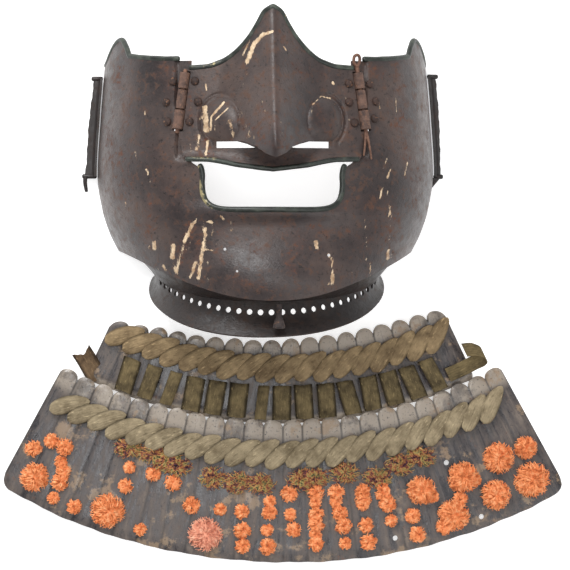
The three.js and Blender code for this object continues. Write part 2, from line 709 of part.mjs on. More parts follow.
// A domed rivet head standing on the surface beside a hinge.
function rivet(row) {
  const heightField = row.toward > 0 ? cheekZ : noseZ;
  const hinge = hingePoint(row.side, row.along);
  const x = hinge.x + row.side * row.toward * row.across;
  const base = pointOver(heightField, x, hinge.y, PIECE_GAP);
  const profile = [
    new THREE.Vector2(0, 0),
    new THREE.Vector2(RIVET_RADIUS, 0),
    new THREE.Vector2(RIVET_RADIUS * 0.72, RIVET_HEIGHT * 0.75),
    new THREE.Vector2(0, RIVET_HEIGHT),
  ];
  const geometry = new THREE.LatheGeometry(profile, RIVET_SIDES);
  const normal = outwardNormal(heightField, x, hinge.y);
  geometry.applyQuaternion(new THREE.Quaternion().setFromUnitVectors(new THREE.Vector3(0, 1, 0), normal));
  geometry.translate(base.x, base.y, base.z);
  return geometry;
}

// ---------------------------------------------------------------- collar and chin peg
function collarRingPoint(ring, turn) {
  const height = ring.front + ring.rise * (1 - Math.cos(turn)) ** COLLAR_RISE_POWER;
  const z = COLLAR_CENTRE_Z + ring.depth * Math.cos(turn);
  return new THREE.Vector3(ring.halfWidth * Math.sin(turn), height, z);
}

// The skirt between the neck ring (0) and the hem (1).
function skirtPoint(turn, drop) {
  return collarRingPoint(COLLAR_NECK, turn).lerp(collarRingPoint(COLLAR_HEM, turn), drop);
}

// A point just inside the jaw, a little above its edge.
function insideJaw(jawTurn, above) {
  const height = jawEdgeAt(jawTurn) + above;
  const point = facePoint(jawTurn, height);
  const across = facePoint(jawTurn + 0.02, height).sub(facePoint(jawTurn - 0.02, height));
  const down = facePoint(jawTurn, height - 0.5).sub(facePoint(jawTurn, height + 0.5));
  const normal = down.cross(across).normalize();
  return point.addScaledVector(normal, -FACE_WALL - JAW_CLEARANCE);
}

function collar() {
  const rows = [
    (turn, jawTurn) => insideJaw(jawTurn, 5),
    (turn, jawTurn) => insideJaw(jawTurn, 0.9),
    (turn) => skirtPoint(turn, 0),
    (turn) => skirtPoint(turn, 0.5),
    (turn) => skirtPoint(turn, 1),
  ];
  const pointAt = (across, row) => rows[row](across * COLLAR_TURN, across * COLLAR_JAW_TURN);
  const columns = evenShares(COLLAR_COLUMNS).map((share) => share * 2 - 1);
  let band = solidOf(sheetFromGrid(pointAt, columns, rows.map((_, row) => row), COLLAR_WALL));
  for (let hole = 0; hole < LACE_HOLES; hole += 1) {
    const turn = (hole - (LACE_HOLES - 1) / 2) * LACE_HOLE_TURN;
    const centre = skirtPoint(turn, LACE_HOLE_DROP);
    const out = new THREE.Vector3(Math.sin(turn), 0, Math.cos(turn));
    const from = centre.clone().addScaledVector(out, -5);
    const to = centre.clone().addScaledVector(out, 5);
    band = band.subtract(solidOf(barBetween(from, to, LACE_HOLE_RADIUS, DRILL_SIDES)));
  }
  return geometryOf(band);
}

function chinPeg() {
  const { length, stem, tip } = CHIN_PEG;
  const profile = [
    new THREE.Vector2(0, 0),
    new THREE.Vector2(stem, 0),
    new THREE.Vector2(stem, length * 0.6),
    new THREE.Vector2(tip * 0.8, length * 0.78),
    new THREE.Vector2(tip, length),
    new THREE.Vector2(0, length),
  ];
  const geometry = new THREE.LatheGeometry(profile, 8);
  geometry.rotateX(Math.PI);
  geometry.translate(CHIN_PEG.x, CHIN_PEG.top, CHIN_PEG.z);
  return geometry;
}

// ---------------------------------------------------------------- ear flanges
// An angle plate: a lip along the side of the face, then a flat flange turned outward,
// with a rolled rim along its top and its foot. Only the left one ends in a small prong.
function earFlange(side) {
  const top = EAR_OUTLINE_ROWS[EAR_OUTLINE_ROWS.length - 1].height;
  const foot = EAR_OUTLINE_ROWS[0].height;
  const clear = PIECE_GAP + 0.1;
  const sectionAt = (height) => {
    const bend = halfWidthAt(height) + clear + EAR_WALL;
    return [
      new THREE.Vector3(side * bend, height, EAR_LIP_DEPTH),
      new THREE.Vector3(side * bend, height, EAR_BASE + EAR_WALL),
      new THREE.Vector3(side * earReachAt(height), height, EAR_BASE + EAR_WALL),
    ];
  };
  const pointAt = (across, down) => {
    const section = sectionAt(top + (foot - top) * down);
    return section[side > 0 ? across : 2 - across];
  };
  let flange = solidOf(sheetFromGrid(pointAt, [0, 1, 2], evenShares(EAR_ROWS), EAR_WALL));
  const rimZ = EAR_BASE + EAR_WALL / 2;
  for (const height of [top, foot]) {
    const inner = side * (halfWidthAt(height) + clear + EAR_RIM_RADIUS * 0.6);
    const outer = side * (earReachAt(height) + 0.6);
    const from = new THREE.Vector3(inner, height, rimZ);
    const to = new THREE.Vector3(outer, height, rimZ);
    flange = flange.add(solidOf(barBetween(from, to, EAR_RIM_RADIUS, RIM_SIDES)));
  }
  if (side === LEFT) {
    const corner = new THREE.Vector3(side * (earReachAt(foot) - 0.8), foot, rimZ);
    const end = corner.clone().add(new THREE.Vector3(0.4, -EAR_PRONG_LENGTH, 0));
    flange = flange.add(solidOf(barBetween(corner, end, EAR_RIM_RADIUS, RIM_SIDES)));
  }
  return geometryOf(flange);
}

// ---------------------------------------------------------------- throat guard
function guardPoint(radius, bearing, lift) {
  return new THREE.Vector3(
    GUARD_CENTRE.x + radius * Math.sin(bearing),
    GUARD_CENTRE.y - radius * Math.cos(bearing),
    GUARD_ARCH * (1 - (bearing / GUARD_SPREAD) ** 2) + GUARD_LIFT + lift,
  );
}

// A lame of lacquered scales: rounded heads along the inner edge, one relief ridge to a scale.
function lame(row, cornerRadius) {
  const pointAt = (across, down) => {
    const bearing = across * row.spread;
    const scalePlace = (((across + 1) / 2) * row.scales) % 1;
    const fromMiddle = Math.min(1, Math.abs(scalePlace - 0.5) * 2);
    const betweenScales = fromMiddle > 0.9;
    const head = row.top + (betweenScales ? SCALE_NOTCH : 0);
    const fromSide = row.bottom * (row.spread - Math.abs(bearing));
    const into = Math.max(0, cornerRadius - fromSide);
    const foot = row.bottom - cornerRadius + Math.sqrt(cornerRadius ** 2 - into ** 2);
    const radius = down === 0 ? head : row.top + SCALE_NOTCH + (foot - row.top - SCALE_NOTCH) * down;
    const raised = betweenScales ? 0 : row.relief;
    return guardPoint(radius, bearing, LAME_THICKNESS + raised);
  };
  const columns = evenShares(row.scales * COLUMNS_PER_SCALE).map((share) => share * 2 - 1);
  return sheetFromGrid(pointAt, columns, LAME_ROW_SHARES, LAME_THICKNESS);
}

function lowerLame() {
  let plate = solidOf(lame(LOWER_LAME, LAME_CORNER));
  for (const hole of LAME_HOLES) {
    const below = guardPoint(hole.radius, hole.bearing * DEGREE, -5);
    const above = guardPoint(hole.radius, hole.bearing * DEGREE, 8);
    plate = plate.subtract(solidOf(barBetween(below, above, LAME_HOLE_RADIUS, DRILL_SIDES)));
  }
  return geometryOf(plate);
}

// A row of slanted folds of lacing tape that crosses a lame, each fold lapped over the last,
// so that both edges of the row run in saw teeth.
function braid(row, relief) {
  const base = LAME_THICKNESS + relief + PIECE_GAP + BRAID_THICKNESS;
  const pointAt = (column, down) => {
    const fold = Math.floor(column / 2);
    const high = column % 2;
    const place = (fold + high * BRAID_FOLD_SHARE) / row.count;
    const bearing = (place * 2 - 1) * row.spread + row.slant * (0.5 - down);
    const inner = row.inner + BRAID_TOOTH * (1 - high);
    const outer = row.outer - BRAID_TOOTH * high;
    return guardPoint(inner + (outer - inner) * down, bearing, base + BRAID_STEP * high);
  };
  const columns = Array.from({ length: row.count * 2 }, (_, column) => column);
  return sheetFromGrid(pointAt, columns, [0, 1], BRAID_THICKNESS);
}

// One flat tape between the lames, arched over the upper one and a little twisted.
function tape(row) {
  const base = LAME_THICKNESS + UPPER_LAME.relief + PIECE_GAP + TAPE_THICKNESS;
  const pointAt = (across, along) => {
    const radius = TAPE_START + (TAPE_END - TAPE_START) * along;
    const sideways = (across - 0.5) * row.width + row.twist * (0.5 - along);
    const arch = row.lift * Math.sin(Math.PI * along);
    return guardPoint(radius, row.bearing * DEGREE + sideways / radius, base + arch);
  };
  return sheetFromGrid(pointAt, [0, 1], evenShares(TAPE_COLUMNS), TAPE_THICKNESS);
}

// A loose tape end that sticks out past the left end of the upper lame.
function looseTape() {
  const { root, tip, halfAcross } = LOOSE_TAPE;
  const start = guardPoint(root.radius, root.bearing * DEGREE, root.lift);
  const end = guardPoint(tip.radius, tip.bearing * DEGREE, tip.lift);
  const across = new THREE.Vector3(halfAcross.x, halfAcross.y, 0);
  const pointAt = (side, along) => end.clone().lerp(start, along).addScaledVector(across, side * 2 - 1);
  return sheetFromGrid(pointAt, [0, 1], evenShares(2), TAPE_THICKNESS);
}

// A tape end that curls up and back on itself at the right end of the upper lame.
function curledTape() {
  const { spine, across } = CURLED_TAPE;
  const width = new THREE.Vector3(across.x, across.y, across.z);
  const pointAt = (along, side) => {
    const place = spine[along];
    return new THREE.Vector3(place.x, place.y, place.z).addScaledVector(width, side - 0.5);
  };
  return sheetFromGrid(pointAt, spine.map((_, index) => index), [0, 1], TAPE_THICKNESS);
}

// A flattened rosette of silk threads on the lower lame.
function rosette(row) {
  const bearing = row.bearing * DEGREE;
  const profile = [
    new THREE.Vector2(0, 0),
    new THREE.Vector2(row.halfSize, 0),
    new THREE.Vector2(row.halfSize * 0.86, ROSETTE_HEIGHT * 0.75),
    new THREE.Vector2(0, ROSETTE_HEIGHT),
  ];
  const geometry = new THREE.LatheGeometry(profile, ROSETTE_SIDES);
  const lift = LAME_THICKNESS + LOWER_LAME.relief + PIECE_GAP + 0.3;
  const centre = guardPoint(row.radius, bearing, lift);
  const ahead = guardPoint(row.radius, bearing + 0.01, lift).sub(centre);
  const outward = guardPoint(row.radius + 1, bearing, lift).sub(centre);
  const normal = outward.cross(ahead).normalize();
  geometry.applyQuaternion(new THREE.Quaternion().setFromUnitVectors(new THREE.Vector3(0, 1, 0), normal));
  geometry.translate(centre.x, centre.y, centre.z);
  return geometry;
}

// ---------------------------------------------------------------- materials and assembly
const MATERIALS = {
  lacqueredIron: { color: 0x4a3d38, roughness: 0.6, metalness: 0.35 },
  rimMetal: { color: 0x333b33, roughness: 0.5, metalness: 0.6 },
  rustedIron: { color: 0x5d4034, roughness: 0.8, metalness: 0.5 },
  lacqueredScale: { color: 0x5c5550, roughness: 0.45, metalness: 0.1 },
  lacingTape: { color: 0x6e6047, roughness: 0.9, metalness: 0 },
  orangeSilk: { color: 0xdc7840, roughness: 0.95, metalness: 0 },
};

function piece(name, geometry, slot) {
  const bare = geometry.clone();
  bare.deleteAttribute('uv');
  bare.deleteAttribute('normal');
  const welded = mergeVertices(bare, 1e-4);
  welded.computeVertexNormals();
  const { color, roughness, metalness } = MATERIALS[slot];
  const mesh = new THREE.Mesh(welded, new THREE.MeshStandardMaterial({ color, roughness, metalness }));
  mesh.name = name;
  return mesh;
}

function maskPieces() {
  return [
    piece('face_plate', facePlate(), 'lacqueredIron'),
    piece('nose_plate', nosePlate(), 'lacqueredIron'),
    piece('collar', collar(), 'lacqueredIron'),
    piece('chin_peg', chinPeg(), 'lacqueredIron'),
    piece('ear_flange_left', earFlange(LEFT), 'lacqueredIron'),
    piece('ear_flange_right', earFlange(RIGHT), 'lacqueredIron'),
    piece('rim_nose', noseRim(), 'rimMetal'),
    piece('rim_upper_lip', lipRim(), 'rimMetal'),
    piece('rim_mouth', mouthRim(), 'rimMetal'),
    piece('rim_cheek_left', cheekRim(LEFT), 'rimMetal'),
    piece('rim_cheek_right', cheekRim(RIGHT), 'rimMetal'),
    piece('hinge_left_cheek_leaf', hingeLeaf(LEFT, 1, [0, 2], [1]), 'rustedIron'),
    piece('hinge_left_nose_leaf', hingeLeaf(LEFT, -1, [1], [0, 2]), 'rustedIron'),
    piece('hinge_left_pin', plainPin(), 'rustedIron'),
    piece('hinge_right_cheek_leaf', hingeLeaf(RIGHT, 1, [0, 2], [1]), 'rustedIron'),
    piece('hinge_right_nose_leaf', hingeLeaf(RIGHT, -1, [1], [0, 2]), 'rustedIron'),
    piece('hinge_right_split_pin', splitPin(), 'rustedIron'),
    ...RIVETS.map((row) => piece(`rivet_${row.name}`, rivet(row), 'rustedIron')),
  ];
}

function guardPieces() {
  return [
    piece('lame_upper', lame(UPPER_LAME, 2), 'lacqueredScale'),
    piece('lame_lower', lowerLame(), 'lacqueredScale'),
    piece('braid_upper', braid(UPPER_BRAID, UPPER_LAME.relief), 'lacingTape'),
    piece('braid_lower', braid(LOWER_BRAID, LOWER_LAME.relief), 'lacingTape'),
    ...TAPES.map((row, index) => piece(`tape_${index + 1}`, tape(row), 'lacingTape')),
    piece('tape_loose_left', looseTape(), 'lacingTape'),
    piece('tape_curled_right', curledTape(), 'lacingTape'),
    ...ROSETTES.map((row) => piece(`rosette_${row.name}`, rosette(row), 'orangeSilk')),
  ];
}

// The whole part, set down with the middle of its footprint on the origin.
function faceGuard() {
  const group = new THREE.Group();
  group.name = 'samurai_face_guard';
  const meshes = [...maskPieces(), ...guardPieces()];
  const box = new THREE.Box3();
  for (const mesh of meshes) {
    mesh.geometry.computeBoundingBox();
    box.union(mesh.geometry.boundingBox);
  }
  const centre = box.getCenter(new THREE.Vector3());
  for (const mesh of meshes) {
    mesh.geometry.translate(-centre.x, -centre.y, -box.min.z);
    group.add(mesh);
  }
  return group;
}

export default faceGuard();
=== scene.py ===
# %% [markdown]
# # A samurai half mask and its laced throat guard
# The object is an iron half mask that covers the face below the eyes, lying on its open back,
# and the two rows of lacquered scales that hung from it, lying below it.  Every surface here
# is worked out with numpy from a few named sizes, in millimetres, and put in metres into the
# frame that the CAD model gives.

# %% Frame and tools
import math

import bpy
import numpy as np
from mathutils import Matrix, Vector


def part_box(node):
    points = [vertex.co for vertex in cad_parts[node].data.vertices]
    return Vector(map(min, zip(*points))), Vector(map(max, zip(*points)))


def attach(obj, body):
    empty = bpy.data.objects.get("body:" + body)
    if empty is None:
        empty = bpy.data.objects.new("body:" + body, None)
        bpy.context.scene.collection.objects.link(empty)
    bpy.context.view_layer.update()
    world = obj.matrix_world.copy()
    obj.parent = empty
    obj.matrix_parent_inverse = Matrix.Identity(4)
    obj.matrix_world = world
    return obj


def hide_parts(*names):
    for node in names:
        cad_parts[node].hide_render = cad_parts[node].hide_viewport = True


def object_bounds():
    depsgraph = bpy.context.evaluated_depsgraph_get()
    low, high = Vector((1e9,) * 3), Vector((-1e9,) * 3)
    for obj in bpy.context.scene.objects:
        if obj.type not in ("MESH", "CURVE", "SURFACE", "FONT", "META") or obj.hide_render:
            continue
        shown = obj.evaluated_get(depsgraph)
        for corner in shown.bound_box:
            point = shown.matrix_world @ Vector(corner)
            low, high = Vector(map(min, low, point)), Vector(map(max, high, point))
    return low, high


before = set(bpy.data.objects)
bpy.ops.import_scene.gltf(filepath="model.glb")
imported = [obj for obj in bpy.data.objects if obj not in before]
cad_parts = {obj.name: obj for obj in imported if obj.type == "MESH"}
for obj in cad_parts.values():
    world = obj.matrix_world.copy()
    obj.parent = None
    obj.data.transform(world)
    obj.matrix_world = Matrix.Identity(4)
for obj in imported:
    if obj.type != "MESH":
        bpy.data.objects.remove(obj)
cad_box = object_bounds()
MM = 0.001
DEGREE = math.pi / 180
LEFT, RIGHT = -1, 1
print("CAD box", [list(corner) for corner in cad_box])

# %% [markdown]
# Shapes are easier to write from the middle of the mask than from the middle of the whole
# object.  The CAD boxes say where that middle is: halfway across the face plate, a known
# height over the peg under the chin, and a known depth over the plate's cut back.

# %% Where the mask's own origin lies
PEG_TOP_HEIGHT = -9.4
BACK_PLANE = 0.6
plate_low, plate_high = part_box("face_plate")
peg_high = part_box("chin_peg")[1]
MASK_ORIGIN = np.array([
    (plate_low[0] + plate_high[0]) / 2,
    peg_high[1] - PEG_TOP_HEIGHT * MM,
    plate_low[2] - BACK_PLANE * MM,
])
print("mask origin in the frame", MASK_ORIGIN)

# %% [markdown]
# The camera looks almost straight down at the table from three metres, with a long lens, so
# that nothing looks stretched.  It stands a little to the wearer's right.  The floor is a
# plain pale light table: it glows a little, as a light table does, so
# that the holes in the mask show pale.

# %% Camera, floor and lights
CAMERA_DISTANCE = 3.0
CAMERA_LEAN = 3.3 * DEGREE
LENS, SENSOR = 357.5, 36.0
AIM_RIGHT, AIM_DOWN = 0.0026, 0.0008
scene = bpy.context.scene
low, high = np.array(cad_box[0]), np.array(cad_box[1])
aim = np.array([(low[0] + high[0]) / 2 + AIM_RIGHT, (low[1] + high[1]) / 2 - AIM_DOWN, 0.0])
camera_data = bpy.data.cameras.new("camera")
camera_data.lens, camera_data.sensor_width = LENS, SENSOR
camera_data.clip_end = 50
camera = bpy.data.objects.new("camera", camera_data)
camera.location = aim + CAMERA_DISTANCE * np.array([-math.sin(CAMERA_LEAN), 0, math.cos(CAMERA_LEAN)])
camera.rotation_euler = (0, -CAMERA_LEAN, 0)
scene.collection.objects.link(camera)
scene.camera = camera

FLOOR_HALF, FLOOR_GAP = 12.0, 0.0004
floor_mesh = bpy.data.meshes.new("floor")
floor_z = float(low[2]) - FLOOR_GAP
floor_places = ((-1, -1), (1, -1), (1, 1), (-1, 1))
floor_corners = [(x * FLOOR_HALF, y * FLOOR_HALF, floor_z) for x, y in floor_places]
floor_mesh.from_pydata(floor_corners, [], [(0, 1, 2, 3)])
floor = bpy.data.objects.new("floor", floor_mesh)
scene.collection.objects.link(floor)


def soft_light(name, place, size, power, tint=(1, 1, 1)):
    """A square soft box at a place, turned to look at the object's middle."""
    lamp = bpy.data.lights.new(name, "AREA")
    lamp.size, lamp.energy, lamp.color = size, power, tint
    holder = bpy.data.objects.new(name, lamp)
    holder.location = place
    reach = np.array(place, float) - np.array([0, 0, 0.05])
    across = math.atan2(math.hypot(reach[0], reach[1]), reach[2])
    holder.rotation_euler = (0, across, math.atan2(reach[1], reach[0]))
    scene.collection.objects.link(holder)
    return holder


soft_light("key", (-0.55, 1.25, 1.15), 0.8, 24)
soft_light("fill", (0.9, -0.7, 1.5), 1.4, 9)
soft_light("crown", (-0.2, 0.1, 2.2), 0.9, 12)
world = bpy.data.worlds.new("studio")
world.use_nodes = True
world.node_tree.nodes["Background"].inputs["Color"].default_value = (1, 1, 1, 1)
world.node_tree.nodes["Background"].inputs["Strength"].default_value = 0.55
scene.world = world
scene.view_settings.view_transform = "Standard"
print("camera", list(camera.location), "floor at", floor_z)

# %% [markdown]
# A finish is a tree of nodes.  Four short helpers keep each tree readable: one adds a node,
# one makes a noise pattern on the object's own coordinates in metres, one turns a number
# into a colour through named steps, and one squeezes a range of a number into 0 to 1.

# %% Helpers for finishes
def srgb(red, green, blue):
    """A screen colour of 0 to 255 a channel as the linear colour that shaders take."""
    share = np.array([red, green, blue]) / 255
    linear = np.where(share <= 0.04045, share / 12.92, ((share + 0.055) / 1.055) ** 2.4)
    return (*linear.tolist(), 1.0)


def feed(tree, socket, value):
    """Links a socket to another, or sets it to a value."""
    if isinstance(value, bpy.types.NodeSocket):
        tree.links.new(value, socket)
    else:
        socket.default_value = value


def add(tree, kind, sockets=(), **settings):
    """One shader node with its settings, and its sockets by name or number."""
    made = tree.nodes.new("ShaderNode" + kind)
    for key, value in settings.items():
        setattr(made, key, value)
    for key, value in dict(sockets).items():
        feed(tree, made.inputs[key], value)
    return made


def place(tree, stretch=(1, 1, 1), turn=0.0, source="Object"):
    """Object coordinates (or another output of Texture Coordinate), turned about Z and stretched."""
    where = add(tree, "TexCoord").outputs[source]
    return add(tree, "Mapping", {"Vector": where, "Scale": stretch, "Rotation": (0, 0, turn)}).outputs[0]


def noise(tree, scale, detail=5.0, rough=0.6, where=None, warp=0.0):
    """Cloudy noise of 0 to 1, with this many lumps to the metre."""
    where = where or place(tree)
    return add(tree, "TexNoise", {"Vector": where, "Scale": scale, "Detail": detail, "Roughness": rough,
                                  "Distortion": warp}).outputs[0]


def squeeze(tree, value, low, high, to_low=0.0, to_high=1.0):
    """A number's range low..high spread smoothly over another range."""
    return add(tree, "MapRange", {0: value, 1: low, 2: high, 3: to_low, 4: to_high},
               interpolation_type="SMOOTHSTEP").outputs[0]


def sums(tree, operation, first, second=0.0):
    """One sum of two numbers, such as MULTIPLY."""
    return add(tree, "Math", {0: first, 1: second}, operation=operation).outputs[0]


def plus(tree, first, second):
    """Two numbers added."""
    return sums(tree, "ADD", first, second)


def times(tree, first, second):
    """Two numbers multiplied."""
    return sums(tree, "MULTIPLY", first, second)


def steps(tree, value, *stops):
    """A colour from a number, through stops of (place, screen colour)."""
    ramp = add(tree, "ValToRGB", {0: value})
    band = ramp.color_ramp
    while len(band.elements) < len(stops):
        band.elements.new(0.5)
    for element, (where, colour) in zip(band.elements, stops):
        element.position = where
    for element, (where, colour) in zip(band.elements, stops):
        element.color = srgb(*colour)
    return ramp.outputs[0]


def cover(tree, share, under, over, blend="MIX"):
    """One colour laid over another, by share."""
    over = srgb(*over) if isinstance(over, tuple) else over
    under = srgb(*under) if isinstance(under, tuple) else under
    made = add(tree, "Mix", {0: share}, data_type="RGBA", blend_type=blend)
    feed(tree, made.inputs[6], under)
    feed(tree, made.inputs[7], over)
    return made.outputs[2]


def painted(tree, name):
    """The number from 0 to 1 that a piece's mesh carries at each of its corners under this name."""
    return add(tree, "Attribute", attribute_type="GEOMETRY", attribute_name=name).outputs["Fac"]


def new_finish(name, metal=0.0, specular=0.5):
    """An empty material and its tree and shader."""
    material = bpy.data.materials.new(name)
    material.use_nodes = True
    shader = material.node_tree.nodes["Principled BSDF"]
    shader.inputs["Metallic"].default_value = metal
    shader.inputs["Specular IOR Level"].default_value = specular
    return material, material.node_tree, shader


def relief(tree, shader, *heights):
    """Bumps laid on each other: each is (height, strength, distance in metres)."""
    normal = None
    for height, strength, distance in heights:
        bump = add(tree, "Bump", {"Height": height, "Strength": strength, "Distance": distance})
        if normal:
            feed(tree, bump.inputs["Normal"], normal)
        normal = bump.outputs[0]
    tree.links.new(normal, shader.inputs["Normal"])


FLOOR_GLOW = 0.55
floor_finish, tree, shader = new_finish("light_table")
feed(tree, shader.inputs["Base Color"], srgb(236, 236, 236))
feed(tree, shader.inputs["Roughness"], 0.9)
feed(tree, shader.inputs["Emission Color"], (1, 1, 1, 1))
feed(tree, shader.inputs["Emission Strength"], FLOOR_GLOW)
floor_mesh.materials.append(floor_finish)

# %% [markdown]
# ## Surfaces from numpy
# A surface is a grid of points: rows one way, columns the other.  If the columns run to the
# right and the rows run up, seen from outside, the faces made here look outwards.  A wall is
# the same grid twice, the second a wall's depth inside, with the four edges closed.

# %% Helpers for surfaces
def grid_quads(rows, columns, close_rows=False, close_columns=False):
    """The four corners of every cell of a grid; closing joins the last row or column to the first."""
    row = np.arange(rows if close_rows else rows - 1)[:, None]
    column = np.arange(columns if close_columns else columns - 1)[None, :]
    up, over = (row + 1) % rows, (column + 1) % columns
    corners = [row * columns + column, row * columns + over, up * columns + over, up * columns + column]
    return np.stack([np.broadcast_to(c, (row.size, column.size)) for c in corners], -1).reshape(-1, 4)


def unit(vectors):
    """Each vector made one long."""
    return vectors / np.maximum(np.linalg.norm(vectors, axis=-1, keepdims=True), 1e-12)


def outward(points):
    """The direction out of a grid at each point: its step to the right crossed with its step up."""
    return unit(np.cross(np.gradient(points, axis=1), np.gradient(points, axis=0)))


def between(outer, inner):
    """A closed solid between two grids of one size, the first as seen from outside."""
    rows, columns = outer.shape[:2]
    count = rows * columns
    outer_faces = grid_quads(rows, columns)
    number = np.arange(count).reshape(rows, columns)
    loop = np.concatenate([number[0, :-1], number[:-1, -1], number[-1, :0:-1], number[:0:-1, 0]])
    after = np.roll(loop, -1)
    strip = np.stack([after, loop, loop + count, after + count], -1)
    faces = np.concatenate([outer_faces, outer_faces[:, ::-1] + count, strip])
    return np.concatenate([outer.reshape(-1, 3), inner.reshape(-1, 3)]), [faces]


def walled(points, wall):
    """A closed shell: the grid, a copy of it a wall's depth inside, and a strip round the edges."""
    return between(points, points - outward(points) * np.asarray(wall)[..., None])


def tube(path, radius, sides, upward=(0, 0, 1), flatten=1.0, closed=False, round_ends=True):
    """A ring of points carried along a path.  Each ring lies across the path's own direction; upward
    tells which way its second axis leans.  The ends close in a dome of three smaller rings."""
    path = np.asarray(path, float)
    radius = np.broadcast_to(np.asarray(radius, float), (len(path),))
    if closed:
        along = unit(np.roll(path, -1, 0) - np.roll(path, 1, 0))
    else:
        along = unit(np.gradient(path, axis=0))
        if round_ends:
            lean = np.array([0.0, 0.45, 0.8])
            head = path[:1] - along[:1] * radius[0] * np.sqrt(1 - lean[:, None] ** 2) * 0.7
            tail = path[-1:] + along[-1:] * radius[-1] * np.sqrt(1 - lean[::-1, None] ** 2) * 0.7
            path = np.concatenate([head, path, tail])
            along = np.concatenate([along[[0] * 3], along, along[[-1] * 3]])
            lean = np.maximum(lean, 0.05)
            radius = np.concatenate([radius[0] * lean, radius, radius[-1] * lean[::-1]])
    side = unit(np.cross(along, np.broadcast_to(np.asarray(upward, float), path.shape)))
    top = np.cross(side, along)
    turn = np.arange(sides) * 2 * math.pi / sides
    ring = side[:, None] * np.cos(turn)[None, :, None] + top[:, None] * np.sin(turn)[None, :, None] * flatten
    points = path[:, None] + ring * radius[:, None, None]
    faces = [grid_quads(len(path), sides, close_rows=closed, close_columns=True)[:, ::-1]]
    if not closed:
        faces += [np.arange(sides)[None], (len(path) - 1) * sides + np.arange(sides)[None, ::-1]]
    return points.reshape(-1, 3), faces


def lathe(profile, sides, axis, base):
    """A profile of (distance from the axis, height) turned round the axis, from a pole to a pole."""
    axis = unit(np.asarray(axis, float))
    side = unit(np.cross(axis, [0.31, 0.17, 0.93] if abs(axis[2]) < 0.9 else [0.0, 1.0, 0.0]))
    front = np.cross(axis, side)
    out, height = np.asarray(profile, float).T
    turn = np.arange(sides) * 2 * math.pi / sides
    spoke = side * np.cos(turn)[:, None] + front * np.sin(turn)[:, None]
    points = np.asarray(base, float) + out[:, None, None] * spoke[None] + height[:, None, None] * axis
    rings = len(out)
    faces = [grid_quads(rings, sides, close_columns=True), np.arange(sides)[None, ::-1],
             (rings - 1) * sides + np.arange(sides)[None]]
    return points.reshape(-1, 3), faces


def joined(parts):
    """Several (points, faces) as one, their faces counted on."""
    points, faces, start = [], [], 0
    for part_points, part_faces in parts:
        points.append(part_points)
        faces += [block + start for block in part_faces]
        start += len(part_points)
    return np.concatenate(points), faces


def mesh_of(name, part):
    """A Blender mesh from points in millimetres round the mask's origin, and blocks of faces."""
    points, faces = part
    mesh = bpy.data.meshes.new(name)
    corners = (MASK_ORIGIN + points * MM).tolist()
    mesh.from_pydata(corners, [], [face for block in faces for face in block.tolist()])
    return mesh


def carved(mesh, *groups):
    """The mesh less every cutter, worked out by Boolean modifiers and kept as a new mesh.  The cutters
    of one group don't touch each other."""
    body = bpy.data.objects.new("body", mesh)
    tools = [bpy.data.objects.new("tool", mesh_of("tool", joined(group))) for group in groups]
    for spare in (body, *tools):
        scene.collection.objects.link(spare)
    for tool in tools:
        knife = body.modifiers.new("knife", "BOOLEAN")
        knife.operation, knife.solver, knife.object = "DIFFERENCE", "MANIFOLD", tool
    made = bpy.data.meshes.new_from_object(body.evaluated_get(bpy.context.evaluated_depsgraph_get()))
    for spare in (body, *tools):
        bpy.data.objects.remove(spare)
    return made


def corner_places(mesh):
    """The mesh's own corners as millimetres round the mask's origin."""
    flat = np.empty(len(mesh.vertices) * 3)
    mesh.vertices.foreach_get("co", flat)
    return (flat.reshape(-1, 3) - MASK_ORIGIN) / MM


def paint(mesh, name, values):
    """Keeps one number for each corner of the mesh, for a finish to read."""
    mesh.attributes.new(name, "FLOAT", "POINT").data.foreach_set("value", np.asarray(values, np.float32))


def piece(name, mesh, finish, stands_for=(), smooth=38):
    """An object that shows the mesh: smooth up to an angle, finished, and riding on the one body."""
    made = bpy.data.objects.new(name, mesh)
    scene.collection.objects.link(made)
    mesh.shade_smooth()
    mesh.set_sharp_from_angle(angle=math.radians(smooth))
    mesh.materials.clear()
    mesh.materials.append(finish)
    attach(made, "root")
    if stands_for:
        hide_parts(*stands_for)
    print(f"{name}: {len(mesh.vertices)} corners, {len(mesh.polygons)} faces")
    return made


# %% [markdown]
# A table of a few sizes becomes a smooth curve that never overshoots, so that a plate's width
# or height can be asked for anywhere.  Along a set of places, a looser spline does.

# %% Curves from short tables
def curve_through(*rows):
    """A cubic through (place, value) rows whose slope at each row is the harmonic mean of its two
    neighbours' slopes, or level where they disagree; it stays level past its ends."""
    at, value = np.array(rows, float).T
    slopes = np.diff(value) / np.diff(at)
    before, after = np.append(slopes[0], slopes), np.append(slopes, slopes[-1])
    agree = before * after > 0
    tangents = np.where(agree, 2 * before * after / np.where(agree, before + after, 1), 0)

    def curve(where):
        inside = np.clip(where, at[0], at[-1])
        cell = np.clip(np.searchsorted(at, inside, side="right") - 1, 0, len(at) - 2)
        span = at[cell + 1] - at[cell]
        t = (inside - at[cell]) / span
        rise = t * t * (3 - 2 * t)
        leave, arrive = t * (1 - t) ** 2 * span * tangents[cell], t * t * (1 - t) * span * tangents[cell + 1]
        return value[cell] + (value[cell + 1] - value[cell]) * rise + leave - arrive
    return curve


